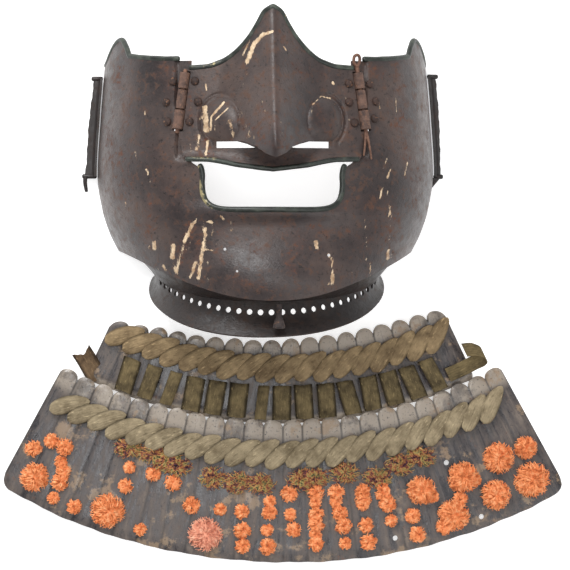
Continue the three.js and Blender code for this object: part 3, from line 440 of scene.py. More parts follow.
def spline(points, count):
    """A smooth path of count places through the points: on each stretch, the cubic whose direction
    at a point is half the step between that point's neighbours."""
    points = np.asarray(points, float)
    ends = np.concatenate([2 * points[:1] - points[1:2], points, 2 * points[-1:] - points[-2:-1]])
    place_on = np.linspace(0, len(points) - 1, count)
    cell = np.minimum(place_on.astype(int), len(points) - 2)
    t = (place_on - cell)[:, None]
    a, b, c, d = ends[cell], ends[cell + 1], ends[cell + 2], ends[cell + 3]
    bend, twist = 2 * a - 5 * b + 4 * c - d, 3 * b - a - 3 * c + d
    return 0.5 * (2 * b + (c - a) * t + bend * t ** 2 + twist * t ** 3)


def hill(distance, half_span):
    """A smooth hill of height 1: e to the minus (distance over half its span) squared."""
    return np.exp(-(distance / half_span) ** 2)


def prism(outline, back, front):
    """An outline of (x, height) drawn straight through from back to front."""
    outline = np.asarray(outline, float)
    count = len(outline)
    x, y = outline.T
    if np.sum(x * np.roll(y, -1) - y * np.roll(x, -1)) < 0:
        outline = outline[::-1]
    points = np.concatenate([np.column_stack([outline, np.full(count, z)]) for z in (back, front)])
    return points, [grid_quads(2, count, close_columns=True), np.arange(count)[None, ::-1],
                    count + np.arange(count)[None]]


# %% [markdown]
# ## The face plate
# On a real one, two hammered iron cheeks and a chin are one plate, bent round the jaw, with
# the lower lip turned out over the chin.  It could be sculpted, but a smith's plate is a
# regular thing: at each height it is a squared ellipse, and a few tables say how wide and how
# deep that ellipse is.  The chin and the lip are smooth hills raised on it.

# %% Sizes and form of the face
FACE_WALL = 1.6
CHEEK_ROUNDNESS = 2.3
CHIN_BOTTOM, JAW_RISE, JAW_RISE_POWER = -8, 26, 2.2
half_width_at = curve_through((-30, 57), (-8, 65), (8, 73), (18, 77.5), (27, 82), (40, 86.2), (58, 88.8),
                              (88, 87.2), (116, 84.8), (145, 80))
depth_at = curve_through((-30, 72), (-8, 75), (20, 76), (60, 76), (90, 73.5), (116, 70), (145, 65))
cheek_top_at = curve_through((0, 116.5), (0.6, 116.5), (0.87, 118.5), (0.905, 124), (0.935, 127.5),
                             (0.965, 125), (1, 115))


def cheek_z(x, height):
    """Depth times the (1/n)th power of 1 minus (x over half the width) to the nth: a squared ellipse."""
    share = np.minimum(1, np.abs(x) / half_width_at(height))
    return depth_at(height) * (1 - share ** CHEEK_ROUNDNESS) ** (1 / CHEEK_ROUNDNESS)


def face_z(x, height):
    """The cheek's wrap, with a broad hill for the chin and a low long one for the lower lip."""
    chin = 10 * hill(height - 2, 17) * hill(x, 40)
    lip = 5 * hill(height - 38, 5) * hill(x, 36)
    return cheek_z(x, height) + chin + lip


def width_share(turn):
    """How far out toward the plate's side a turn round the head has come, from 0 to 1."""
    return np.abs(np.sin(turn)) ** (2 / CHEEK_ROUNDNESS)


def jaw_edge_at(turn):
    """The height of the plate's foot, which rises from the chin toward the ears."""
    return CHIN_BOTTOM + JAW_RISE * width_share(turn) ** JAW_RISE_POWER


def face_point(turn, height):
    """A point of the plate: turn goes round from one back edge, -90 degrees, to the other."""
    x = np.sign(turn) * half_width_at(height) * width_share(turn)
    return np.stack(np.broadcast_arrays(x, height, face_z(x, height)), -1)


OPENING = ((41, 140), (41.5, 112), (44, 80), (44.6, 72), (44, 66.5), (41.4, 63.4), (38.6, 61.2), (37.6, 57),
           (37.7, 52), (37.2, 47), (35.2, 42.6), (30.8, 39.4), (24, 38), (12, 37.7), (0, 37.8))
HINGE_TOP, HINGE_BOTTOM = np.array([44.8, 110.5]), np.array([48.9, 80.5])


def hinge_point(side, along):
    """A place on the hinge's straight pin line, from its top, 0, to its foot, 1."""
    x, height = (HINGE_TOP[:, None] + (HINGE_BOTTOM - HINGE_TOP)[:, None] * np.atleast_1d(along))
    return np.stack([side * x, height, cheek_z(x, height)], -1)


def hinge_bar(side, first, last, radius, sides=16):
    """A plain round bar along part of the hinge."""
    return tube(hinge_point(side, np.array([first, last])), radius, sides, round_ends=False)


def mirrored_loop(half):
    """A half outline, from the top of its right side to the middle of its foot, made whole."""
    half = np.asarray(half, float)
    return np.concatenate([half, half[-2::-1] * [-1, 1]])


opening_half = spline(OPENING, 90)
opening_outline = mirrored_loop(opening_half)
KNUCKLE_RADIUS, SLOT_FIRST, SLOT_LAST, SLOT_GAP = 2.7, -0.02, 1.02, 0.35
LAP_REACH, LAP_FOOT, LAP_DEPTH = 50.5, 64, 2
SMALL_HOLES = ((-24.8, 18.6, 0.75), (-18.8, 7.2, 0.6), (29, 15.5, 0.8))
slots = [hinge_bar(side, SLOT_FIRST, SLOT_LAST, KNUCKLE_RADIUS + SLOT_GAP) for side in (LEFT, RIGHT)]


def drilled(x, height, radius, back=30, front=140):
    """A thin round cutter, straight through the face from back to front."""
    return tube([(x, height, back), (x, height, front)], radius, 12, upward=(0, 1, 0), round_ends=False)


turns = np.linspace(-89.75, 89.75, 221) * DEGREE
rows = np.linspace(0, 1, 131)[:, None]
jaw, top = jaw_edge_at(turns), cheek_top_at(width_share(turns))
plate_points = face_point(turns[None], jaw + (top - jaw) * rows)
lapped = np.clip((LAP_REACH - np.abs(plate_points[..., 0])) / 2, 0, 1)
lapped = lapped * np.clip((plate_points[..., 1] - LAP_FOOT) / 3, 0, 1)
plate_points[..., 2] = np.maximum(plate_points[..., 2] - LAP_DEPTH * lapped, BACK_PLANE)
face_mesh = carved(mesh_of("face_plate_shape", walled(plate_points, FACE_WALL)),
                   [prism(opening_outline, 30, 140)], slots, [drilled(*hole) for hole in SMALL_HOLES])
print("face plate corners", len(face_mesh.vertices))

# %% [markdown]
# ## The nose plate
# The nose is a second plate, held by a hinge on each side.  Its ridge, its two wings and the
# turned-in underside are one sheet on the real one, beaten up from behind.  Here the sheet
# runs down the nose, back along its underside, and down again over the upper lip, so that one
# grid makes all three and the creases fall on whole rows.

# %% Form of the nose
NOSE_WALL, NOSE_HALF_WIDTH, NOSE_ROOT_HEIGHT, UPPER_LIP_FLARE = 1.4, 47, 70.5, 2
RIDGE_BLUNTNESS, RIDGE_POWER = 2.6, 1.45
WING = dict(x=27, height=85, half_width=9.4, half_height=12, lift=5.5)
seam_half_width_at = curve_through((61, 45.6), (68, 46.4), (80, 48.4), (112, 44.2), (145, 44))
nose_top_at = curve_through((0, 143.2), (4, 141), (8, 134.5), (13, 127.2), (20, 119.8), (28, 114.6),
                            (36, 112.2), (48, 111.4))
nose_bottom_at = curve_through((0, 65.5), (5, 67.6), (10, 71.4), (18, 74.4), (48, 74.4))
lip_edge_at = curve_through((0, 61.2), (18, 63.4), (34, 66.2), (48, 66.6))
ridge_rise_at = curve_through((65, 26), (72, 30), (90, 24), (110, 18), (130, 14.5), (145, 12.5))
ridge_spread_at = curve_through((65, 26), (72, 27), (90, 27), (110, 25), (130, 21), (145, 18))


def wing_reach(x, height):
    """How far out on a wing of the nose a place is: 0 at its middle, 1 at its rim."""
    across = (np.abs(x) - WING["x"]) / WING["half_width"]
    return np.hypot(across, (height - WING["height"]) / WING["half_height"])


def nose_z(x, height):
    """The cheek's wrap, plus a ridge that falls away from a blunt middle line, plus a steep low dome
    for each wing with a fine groove round it."""
    from_ridge = np.hypot(x, RIDGE_BLUNTNESS) - RIDGE_BLUNTNESS
    ridge = ridge_rise_at(height) * np.maximum(0, 1 - from_ridge / ridge_spread_at(height)) ** RIDGE_POWER
    reach = wing_reach(x, height)
    wing = WING["lift"] * np.maximum(0, 1 - reach ** 2) ** 0.85
    groove = 0.7 * hill(reach - 1.04, 0.05) - 0.8 * hill(reach - 1.17, 0.07)
    outer_side = 1 / (1 + np.exp(-(np.abs(x) - WING["x"] + 2) / 2.5))
    return cheek_z(x, height) + ridge + wing + groove * outer_side * (height > 70)


def nose_point(across, down):
    """A point of the nose plate.  across is -1 to 1; down is 0 to 10 down the nose, to 13 back along
    its underside, and to 15 down the upper lip."""
    nominal = np.abs(across) * NOSE_HALF_WIDTH
    top, bottom, edge = nose_top_at(nominal), nose_bottom_at(nominal), lip_edge_at(nominal)
    front_height = top + (bottom - top) * np.clip(down / 10, 0, 1)
    under = np.clip((down - 10) / 3, 0, 1)
    lip = np.clip((down - 13) / 2, 0, 1)
    height = np.where(down <= 10, front_height, np.where(
        down <= 13, bottom + (NOSE_ROOT_HEIGHT - bottom) * under,
        NOSE_ROOT_HEIGHT + (edge - NOSE_ROOT_HEIGHT) * lip))
    x = across * seam_half_width_at(height)
    brow = nose_z(x, height)
    front = nose_z(across * seam_half_width_at(bottom), bottom)
    root = cheek_z(x, NOSE_ROOT_HEIGHT)
    z = np.where(down <= 10, brow, np.where(down <= 13, front + (root - front) * under,
                                            cheek_z(x, height) + UPPER_LIP_FLARE * lip ** 2))
    return np.stack([x, height, z], -1)


NOSTRIL = ((29, 74.2), (18.5, 74.2), (13.5, 72.8), (8.5, 70.9), (29, 70.9))
across = np.linspace(-1, 1, 201)[None]
lip_rows, under_rows, front_rows = np.linspace(15, 13, 11), np.linspace(13, 10, 17), np.linspace(10, 0, 131)
down = np.concatenate([lip_rows[:-1], under_rows[:-1], front_rows])[:, None]
nose_sheet = nose_point(*np.broadcast_arrays(across, down))
nostrils = [prism(np.array(NOSTRIL) * [side, 1], 30, 140) for side in (LEFT, RIGHT)]
nose_mesh = carved(mesh_of("nose_plate_shape", walled(nose_sheet, NOSE_WALL)), nostrils, slots)
print("nose plate corners", len(nose_mesh.vertices))

# %% [markdown]
# ## Stains, worn places and a painted sheen
# Time left pale drips, rust and bare spots just where it did, so they can't be left to chance
# noise alone.  Each is a short stroke: a line on the front of the mask, in millimetres, with a
# width and a strength.  Two of the pale strokes, along the right cheek's edge, are painted sheen
# rather than stains.  A mesh corner takes the strongest stroke near it, and the finish then
# tears its edge with noise, so that no stroke looks drawn.

# %% Strokes
def strokes(points, rows):
    """For each point, the greatest over all strokes of strength times a hill of its distance, seen
    from the front, to the stroke's line from (x, height) to (x, height)."""
    value = np.zeros(len(points))
    flat = points[:, :2]
    for x0, y0, x1, y1, half, strength in rows:
        start, line = np.array([x0, y0]), np.array([x1 - x0, y1 - y0])
        share = np.clip(((flat - start) @ line) / max(line @ line, 1e-9), 0, 1)
        gap = np.linalg.norm(flat - start - share[:, None] * line, axis=1)
        value = np.maximum(value, strength * hill(gap, half))
    return np.where(points[:, 2] > 0, value, 0)


# x, height, x, height, half width, strength
PALE_DRIPS_AND_SHEEN = (
    (-0.8, 130.7, -5.8, 129, 1, 1), (-5.8, 129, -9.8, 124.5, 1.4, 1),
    (-9.8, 124.5, -13.4, 115.2, 1.5, 0.95), (-11.8, 126.6, -15.4, 118.9, 0.8, 0.7),
    (-13.4, 115.2, -14, 113.1, 0.8, 0.5), (5.4, 123, 6.5, 121.2, 0.6, 1),
    (31.5, 105.1, 31.8, 104.4, 0.7, 1), (-17, 111.1, -6.5, 89.9, 4.8, 0.33),
    (-19.2, 92.9, -12.5, 77.1, 4.2, 0.42), (-23.4, 85.1, -20.4, 76.8, 2.1, 0.6),
    (-6.4, 95.1, -3.8, 82, 2.7, 0.33), (2.3, 84.6, 4.3, 75.3, 2.7, 0.36), (14, 116.2, 16.6, 110, 2.1, 0.3),
    (-25.2, 94.6, -32, 86.8, 0.7, 0.95), (-32, 86.8, -32, 80.1, 0.7, 0.9),
    (-23.3, 91.4, -30, 85.2, 0.5, 0.8), (-30, 85.2, -30, 79.5, 0.5, 0.75),
    (-34.8, 91.6, -34.5, 79.6, 1.9, 0.85), (-38, 77.1, -39, 70.4, 1.7, 0.7),
    (-33.4, 74.5, -34.4, 67.8, 1, 0.95), (-37.4, 86, -32.4, 89.4, 1.3, 0.6),
    (-34.5, 104.1, -34, 101, 0.6, 0.9), (-45.3, 101.1, -45.5, 91.8, 0.6, 0.8),
    (-41.9, 96.9, -42, 91.7, 0.7, 0.6), (-42.5, 76.6, -42.1, 66.8, 0.5, 0.5),
    (19.2, 86.1, 20.7, 93.5, 0.6, 0.55), (20.7, 93.5, 25.1, 97.8, 0.6, 0.75),
    (25.1, 97.8, 29.9, 96.8, 0.6, 0.7), (29.9, 96.8, 34, 91.6, 0.5, 0.5),
    (37.3, 103.6, 35.7, 97.9, 0.8, 0.45), (38.3, 96.9, 40.4, 93.8, 1.1, 0.5),
    (39.3, 86.5, 43.5, 84.5, 1.3, 0.45), (55.4, 96.6, 56.5, 91.9, 0.7, 0.8),
    (52.9, 87.2, 53.2, 86.1, 0.7, 0.9), (65.4, 97.4, 65.8, 90.1, 0.8, 0.6),
    (67.7, 101.6, 70.5, 102.8, 1.6, 0.3), (60.6, 66.5, 57.9, 59.7, 0.5, 0.6),
    (62.3, 60.3, 60.6, 56.1, 0.7, 1), (71.8, 64.1, 70.1, 57.3, 0.6, 0.8), (73, 55.8, 72.4, 49.5, 0.5, 0.4),
    (57.9, 50.9, 56.3, 44.6, 0.7, 0.95), (60.7, 49.3, 59.6, 44.7, 0.6, 0.7),
    (62.4, 41.1, 61.9, 36.9, 0.6, 0.95), (63, 36.9, 61.6, 23.4, 0.5, 0.6),
    (61.8, 41.1, 61.3, 35.9, 0.7, 0.9), (61.3, 34.8, 63.7, 14.1, 0.5, 0.6),
    (61.5, 18.2, 61.6, 14.1, 1.2, 1), (48.2, 35.2, 50.1, 11.9, 0.5, 0.55),
    (51.7, 11.9, 51.3, 4.7, 0.6, 0.85), (48.9, 15.6, 49.6, 6.7, 0.8, 0.45),
    (-40.5, 32.6, -45.6, 22.3, 1.4, 0.9), (-45.6, 22.3, -49.5, 6.7, 1.4, 0.7),
    (-41.5, 25.4, -44.6, 18.1, 1.9, 0.45), (-51.1, 20.2, -51.4, 14.5, 1.7, 1),
    (-51.1, 11.9, -49.5, 6.7, 1.9, 0.6), (-60.7, 21.9, -60.4, 19.3, 1.4, 1),
    (-62.7, 20.3, -64.7, 17.7, 0.5, 0.9), (-56.1, 9.9, -54.6, 7.8, 1.1, 0.8),
    (-58.6, 12, -58.5, 6.8, 0.7, 0.5), (-35.5, 32.6, -34.4, 20.2, 2.7, 0.5),
    (-33.9, 32.6, -31.4, 32.6, 1.1, 0.9), (-34.4, 29.5, -36, 19.1, 1, 0.85),
    (-36, 19.1, -38.5, 3.6, 1.3, 0.95), (-39.5, 11.9, -42.5, 4.1, 1.4, 0.8),
    (-34.9, 18.1, -30.4, 18.1, 0.6, 0.8), (-33.5, 11.9, -34.5, 1.6, 1.6, 0.5),
    (-31.9, 30.5, -30.4, 19.1, 2.1, 0.4), (-21.7, 32.5, -21.1, 28.4, 1.2, 0.75),
    (-27.4, 35.6, -25.3, 34.1, 1.1, 0.7), (-39.5, 34.2, -37.5, 31.6, 1.1, 0.6),
    (-28.8, 33.6, -24.7, 25.8, 1.6, 0.3), (-14, 21.7, -18.3, 11.9, 2.1, 0.25),
    (22.2, 22.7, 22.7, 19.6, 1.3, 0.9), (20, 17, 22, 11.9, 1.4, 0.4), (29, 16, 29.5, 14.5, 0.8, 0.9),
    (30.6, 14, 31, 4.6, 0.8, 0.9), (31, 5.2, 30.5, 1, 1.5, 1), (29.4, 1.5, 28.4, 0.5, 1.1, 0.7),
    (40.2, 8.8, 41.3, 6.7, 0.8, 0.5), (37.6, 23.3, 38.1, 18.1, 0.8, 0.3),
    (-65.5, 90.1, -65.5, 88.8, 0.8, 0.8), (-69.9, 98.6, -70.9, 94.4, 1.3, 0.35),
    (-64.6, 60.3, -63.9, 57.2, 0.6, 0.95), (-63.4, 55.6, -62.4, 52.5, 0.4, 0.6),
    (-75.2, 43.3, -75.2, 40.7, 0.7, 0.7), (-80.8, 115, -79.4, 102.2, 1, 0.35),
    # The stroke from (79.4, 102.2) and the next one from (82.7, 70.8), along the right cheek's edge, are
    # painted sheen, not stains.
    (-82.9, 86.6, -84.9, 70.9, 1.6, 0.25), (79.4, 102.2, 81.5, 76, 1.3, 0.35),
    (82.7, 70.8, 81.3, 52.4, 1.3, 0.3), (-70.5, 70.3, -69.5, 66.1, 0.7, 0.4),
    (-57.8, 80.5, -56.3, 74.2, 0.8, 0.25), (-9.7, 6.7, 13.5, 4.6, 3.2, 0.22),
    (-19.1, 21.2, -5.8, 23.2, 3.2, 0.2),
)
# x, height, x, height, half width, strength
RUST_PATCHES = (
    (-63.4, 46.3, -63.1, 41.1, 1.4, 1), (-77.8, 112.7, -78.9, 104.3, 2.1, 0.75),
    (-54.6, 112.8, -51.6, 100.2, 3.2, 0.65), (-44.5, 100.1, -42.5, 85.5, 2.7, 0.75),
    (-57.7, 109.2, -50, 112.7, 2.7, 0.5), (-83.9, 81.4, -82, 65.5, 2.7, 0.6),
    (-79, 70.6, -75.5, 49.6, 5.3, 0.4), (-62.9, 36.4, -64.7, 23.4, 3.2, 0.5),
    (-42.6, 30.6, -47.6, 11.9, 2.7, 0.8), (-37.5, 28.5, -39.5, 7.8, 2.1, 0.7),
    (-34.4, 75, -31.3, 66.7, 1.6, 0.8), (-39.5, 69.9, -35.4, 66.7, 1.6, 0.7),
    (-6.5, 92.5, -3.8, 80.5, 2.1, 0.5), (-17.4, 85, -6.8, 76.9, 3.7, 0.5), (0.2, 83.5, 3.1, 74.2, 2.7, 0.5),
    (11.7, 113, 16, 109, 2.7, 0.5), (1.8, 103.3, 4.8, 95, 2.1, 0.35), (43.3, 113.6, 44.2, 100.1, 1.3, 0.6),
    (51.3, 112.7, 57.8, 110.8, 2.1, 0.6), (49, 98.6, 51.1, 90.8, 2.1, 0.4),
    (67.7, 102.7, 71, 96.5, 2.1, 0.5), (69.6, 70.3, 74.1, 54.8, 3.2, 0.5),
    (78.8, 60.1, 76, 44.4, 2.7, 0.45), (60.7, 44.2, 63.5, 18.2, 4.2, 0.4),
    (50.9, 44.1, 56.6, 23.4, 5.3, 0.3), (6.3, 11.9, 10.4, 7.7, 1.9, 0.95), (13.9, 23.2, 8.5, 15, 2.7, 0.5),
    (3.6, 31, 13.9, 25.8, 4.2, 0.4), (-12, 20.6, -5.9, 17, 2.7, 0.4), (-2.6, 30.5, -0.6, 27.4, 1.6, 0.6),
    (19.1, 30.5, 27, 27.4, 2.7, 0.5), (37.6, 30.5, 45.6, 23.3, 4.2, 0.3), (29.5, 12.9, 32.6, 7.8, 1.6, 0.5),
    (-29.9, 20.2, -26.4, 11.9, 1.6, 0.6), (-26.3, 25.8, -17.1, 23.2, 2.7, 0.35),
    (-63.8, 30.7, -61.8, 27.6, 1.3, 0.6), (-7.8, 74.4, 4.3, 69.1, 2.7, 0.5),
    (-27.3, 69.8, -17.4, 65.5, 2.1, 0.3), (13.2, 68.4, 24.3, 66.6, 2.1, 0.25),
    (4.3, 68.1, 7.2, 64.2, 1.1, 0.4), (-73.9, 98.7, -76, 81, 2.1, 0.4),
    (-37.2, 116.7, -29.5, 121.8, 2.1, 0.5), (37.3, 102.1, 41.5, 95.9, 2.1, 0.35),
    (0.8, 132.5, 6, 126.4, 2.7, 0.35), (23.1, 90.3, 29.4, 80, 3.2, 0.4),
    (40.3, 85.5, 37.6, 77.7, 2.7, 0.35), (-22.4, 2.6, -6.1, -0.5, 2.7, 0.4),
    (-57.8, 70.1, -50.2, 44.1, 6.4, 0.22), (67.5, 85.9, 71.9, 70.4, 4.2, 0.3),
)


def paint_age(mesh):
    """Paints both kinds of stroke on a mesh."""
    places = corner_places(mesh)
    paint(mesh, "pale", strokes(places, PALE_DRIPS_AND_SHEEN))
    paint(mesh, "rust", strokes(places, RUST_PATCHES))

# %% [markdown]
# ## Old lacquered iron
# The mask was lacquered over iron and has gone brown: purple-black lacquer, worn thin and
# freckled with rust, pale where paint or plaster once ran down it.  Layers of noise need no
# picture and have no seams: big clouds for the lacquer's tint, middling freckles for rust, fine
# grain for the pitted skin, then the painted strokes with torn edges on top.
# Iron this old shines dully, so its roughness is noise too.

# %% Finish: lacquered iron
LACQUER_SHADES = ((50, 41, 42), (76, 64, 62), (97, 80, 74), (70, 60, 60), (108, 72, 52), (140, 78, 48),
                  (30, 24, 24))


def lacquered_iron(name, dark=1.0, streaky=True):
    """The mask's skin; dark under 1 deepens it, and the darkest copy, worn by the collar and the ear flanges,
    is painted shade.
    """
    material, tree, shader = new_finish(name, metal=0.0, specular=0.42)
    clouds = noise(tree, 32, 6, 0.62)
    freckles = noise(tree, 210, 7, 0.68, warp=0.3)
    grain = noise(tree, 900, 5, 0.6)
    shades = [tuple(dark * channel for channel in colour) for colour in LACQUER_SHADES]
    deep, middle, light, purple, brown, rust, black = shades
    tint = steps(tree, clouds, (0.3, deep), (0.48, middle), (0.62, light), (0.75, purple))
    tint = cover(tree, times(tree, squeeze(tree, freckles, 0.5, 0.66), 0.65), tint, brown)
    rust_cloud = squeeze(tree, noise(tree, 60, 6, 0.7), 0.55, 0.72)
    rust_speck = squeeze(tree, noise(tree, 420, 4, 0.65), 0.54, 0.66)
    rust_all = plus(tree, times(tree, rust_cloud, 0.55), painted(tree, "rust"))
    rust_share = times(tree, rust_all, plus(tree, times(tree, rust_speck, 0.7), 0.15))
    tint = cover(tree, rust_share, tint, rust)
    black_speck = squeeze(tree, noise(tree, 520, 5, 0.7), 0.34, 0.44, 0.75, 0.0)
    tint = cover(tree, black_speck, tint, black)
    ragged = sums(tree, "SUBTRACT", noise(tree, 300, 6, 0.75, place(tree, (1.6, 0.7, 1))), 0.5)
    # The pale strokes are stains, except the two along the right cheek's edge, which paint a sheen.
    torn = plus(tree, painted(tree, "pale"), times(tree, ragged, 1.9))
    pale_share = squeeze(tree, torn, 0.5, 0.74)
    pale_tint = steps(tree, noise(tree, 240, 4), (0.35, (150, 118, 88)), (0.6, (214, 190, 158)))
    tint = cover(tree, pale_share, tint, pale_tint) if streaky else tint
    feed(tree, shader.inputs["Base Color"], tint)
    roughness = squeeze(tree, plus(tree, freckles, rust_share), 0.35, 0.95, 0.34, 0.78)
    feed(tree, shader.inputs["Roughness"], roughness)
    relief(tree, shader, (clouds, 0.25, 0.0025), (freckles, 0.35, 0.0007), (grain, 0.35, 0.00022),
           (pale_share, 0.5, 0.0003))
    return material


# %% [markdown]
# The rims are a dark green-black metal rolled over the plates' edges.  Where hands and cords
# rubbed them, most of all by the mouth's left corner, the green is gone and brassy metal shows.
# The hinges, pins and rivets are bare iron, rusted right through its skin.

# %% Finishes: rim metal and rusted iron
def rim_metal():
    """Green-black metal, brassy where the piece's own worn number says so."""
    material, tree, shader = new_finish("rim_metal", metal=0.35, specular=0.6)
    cloud = noise(tree, 160, 6, 0.65)
    tint = steps(tree, cloud, (0.32, (27, 30, 28)), (0.5, (44, 49, 44)), (0.66, (70, 76, 67)),
                 (0.8, (48, 60, 55)))
    uneven = sums(tree, "SUBTRACT", noise(tree, 420, 5), 0.5)
    rub = plus(tree, painted(tree, "worn"), times(tree, uneven, 1.2))
    tint = cover(tree, squeeze(tree, rub, 0.4, 0.7), tint, (158, 146, 108))
    feed(tree, shader.inputs["Base Color"], tint)
    feed(tree, shader.inputs["Roughness"], squeeze(tree, cloud, 0.3, 0.75, 0.34, 0.6))
    relief(tree, shader, (cloud, 0.3, 0.0006), (noise(tree, 1100, 3), 0.25, 0.0002))
    return material


def rusted_iron(name, tint_low, tint_high, rough=0.7):
    """Rust of two tints with a crumbling skin."""
    material, tree, shader = new_finish(name, metal=0.15, specular=0.4)
    cloud = noise(tree, 260, 7, 0.7)
    tint = steps(tree, cloud, (0.35, tint_low), (0.62, tint_high), (0.8, tint_low))
    tint = cover(tree, squeeze(tree, noise(tree, 700, 4), 0.56, 0.68, 0, 0.5), tint, (148, 106, 78))
    feed(tree, shader.inputs["Base Color"], tint)
    feed(tree, shader.inputs["Roughness"], rough)
    relief(tree, shader, (cloud, 0.5, 0.0007), (noise(tree, 1300, 4), 0.4, 0.0002))
    return material


iron_skin = lacquered_iron("lacquered_iron", dark=0.76)
# A darker copy of the mask's iron, without drips: the extra darkening is painted shade, for the collar under
# the chin and the ear flanges at the sides.
shaded_iron_skin = lacquered_iron("iron_with_painted_shade", dark=0.5, streaky=False)
rim_skin = rim_metal()
hinge_skin = rusted_iron("hinge_iron", (62, 48, 44), (110, 84, 72))
pin_skin = rusted_iron("pin_rust", (78, 54, 44), (122, 90, 74))
rivet_skin = rusted_iron("rivet_iron", (38, 29, 27), (66, 48, 42))
peg_skin = rusted_iron("peg_iron", (36, 31, 31), (70, 60, 58))

for mesh in (face_mesh, nose_mesh):
    paint_age(mesh)
piece("iron_face_plate", face_mesh, iron_skin, ["face_plate"])
piece("iron_nose_plate", nose_mesh, iron_skin, ["nose_plate"])

# %% [markdown]
# ## Rolled rims
# Each free edge is rolled over a wire, which makes a smooth bead.  A tube carried along the
# plate's own edge is that bead; its middle line stands off the edge by most of its radius, so
# that it laps the plate as a rolled edge does.

# %% Rims
RIM_RADIUS, RIM_STANDOFF, RIM_REACH = 1.45, 1.15, 0.955


def rim_path(edge, inside, wall):
    """The edge moved away from the plate by the rim's standoff, and half a wall inwards."""
    along = unit(np.gradient(edge, axis=0))
    away = edge - inside
    away = unit(away - along * np.sum(away * along, -1, keepdims=True))
    inward = np.cross(along, away)
    inward = inward * -np.sign(inward[:, 2:]) * wall / 2
    return edge + away * RIM_STANDOFF + inward


def rim(name, path, slot_node, worn, radius=RIM_RADIUS):
    """A bead of 18 sides along a path, uneven by a twentieth, with its worn places painted."""
    wander = 1 + 0.05 * np.sin(np.linspace(0, 37, len(path)) + 1.3) * np.sin(np.linspace(0, 11, len(path)))
    mesh = mesh_of(name, tube(path, radius * wander, 18, upward=(0, 0.2, 1)))
    paint(mesh, "worn", strokes(corner_places(mesh), worn))
    return piece(name, mesh, rim_skin, [slot_node])


def along_nose(across, down):
    """The nose plate's points at one place down it."""
    return nose_point(across, np.full(len(across), down))


def on_face(flat):
    """Places of (x, height) put on the face plate."""
    return np.column_stack([flat, face_z(flat[:, 0], flat[:, 1])])


across = np.linspace(-1, 1, 161) * RIM_REACH
rim("nose_rim", rim_path(along_nose(across, 0.0), along_nose(across, 0.2), NOSE_WALL), "rim_nose",
    ((-8, 140, 8, 140, 5, 0.35), (-44, 114, -30, 116, 4, 0.45)))
rim("upper_lip_rim", rim_path(along_nose(across, 15.0), along_nose(across, 14.7), NOSE_WALL), "rim_upper_lip",
    ((-42, 67, -30, 66, 3, 0.5), (-10, 62, 10, 62, 3, 0.3)), radius=1.3)
MOUTH_SURROUND, MOUTH_MIDDLE, MOUTH_TOP = 1.06, np.array([0, 52]), 61.5
mouth_half = opening_half[opening_half[:, 1] <= MOUTH_TOP]
mouth_edge = np.concatenate([mouth_half * [-1, 1], mouth_half[-2::-1]])
round_mouth = MOUTH_MIDDLE + (mouth_edge - MOUTH_MIDDLE) * MOUTH_SURROUND
rim("mouth_rim", rim_path(on_face(mouth_edge), on_face(round_mouth), FACE_WALL), "rim_mouth",
    ((-42, 61, -39, 46, 4, 1), (-39, 46, -33, 39, 3, 0.7), (-33, 39, 0, 36, 2, 0.3),
     (34, 40, 40, 52, 2, 0.2)), radius=1.5)
for side, side_name in ((LEFT, "left"), (RIGHT, "right")):
    round_head = side * np.linspace(32, 89, 140) * DEGREE
    height = cheek_top_at(width_share(round_head))
    path = rim_path(face_point(round_head, height), face_point(round_head, height - 2), FACE_WALL)
    rim(f"{side_name}_cheek_rim", path, f"rim_cheek_{side_name}",
        ((-70, 117, -50, 116, 3, 0.3), (84, 120, 88, 116, 3, 0.3)))

# %% [markdown]
# ## Hinges
# Two small hinges hold the nose plate.  Their leaves are riveted inside and only the knuckles
# show, so a knuckle is the thing to get right: a thin iron strip rolled into a tube, a little
# uneven, with the pin's end in its bore.  The left pin is plain; the right one is a split pin
# with its tails spread, which is why the nose stays where it is.

# %% Hinges, pins and rivets
KNUCKLE_ENDS, KNUCKLE_PAUSE = (0, 0.3, 0.65, 1), 0.012
LEAF_THICKNESS, LEAF_WIDTH, PIECE_GAP, PIN_RADIUS = 0.9, 11, 0.3, 0.9


def over(height_field, x, height, lift):
    """A point of a height field, moved along the field's own normal."""
    x, height, lift = np.broadcast_arrays(*[np.asarray(value, float) for value in (x, height, lift)])
    slope_x = (height_field(x + 0.5, height) - height_field(x - 0.5, height))
    slope_y = (height_field(x, height + 0.5) - height_field(x, height - 0.5))
    normal = unit(np.stack([-slope_x, -slope_y, np.ones_like(slope_x)], -1))
    return np.stack([x, height, height_field(x, height)], -1) + normal * lift[..., None], normal


def knuckle(side, index, radius):
    """A rolled strip: a thick ring of 20 sides along a third of the hinge, its ends cut square.  The
    profile goes up the outside, in over the end, and down the bore."""
    first, last = KNUCKLE_ENDS[index] + KNUCKLE_PAUSE, KNUCKLE_ENDS[index + 1] - KNUCKLE_PAUSE
    start, end = hinge_point(side, np.array([first, last]))
    axis, length = unit(end - start), np.linalg.norm(end - start)
    bore, bevel = 1.25, 0.25
    profile = [(bore, 0), (radius - bevel, 0), (radius, bevel), (radius * 1.02, length / 2),
               (radius, length - bevel), (radius - bevel, length), (bore, length)]
    out, height = np.array(profile).T
    side_way = unit(np.cross(axis, [0, 0, 1.0]))
    front = np.cross(axis, side_way)
    turn = np.arange(20) * 2 * math.pi / 20
    spoke = side_way * np.cos(turn)[:, None] + front * np.sin(turn)[:, None]
    points = start + out[:, None, None] * spoke[None] + height[:, None, None] * axis
    return points.reshape(-1, 3), [grid_quads(len(out), 20, close_rows=True, close_columns=True)]


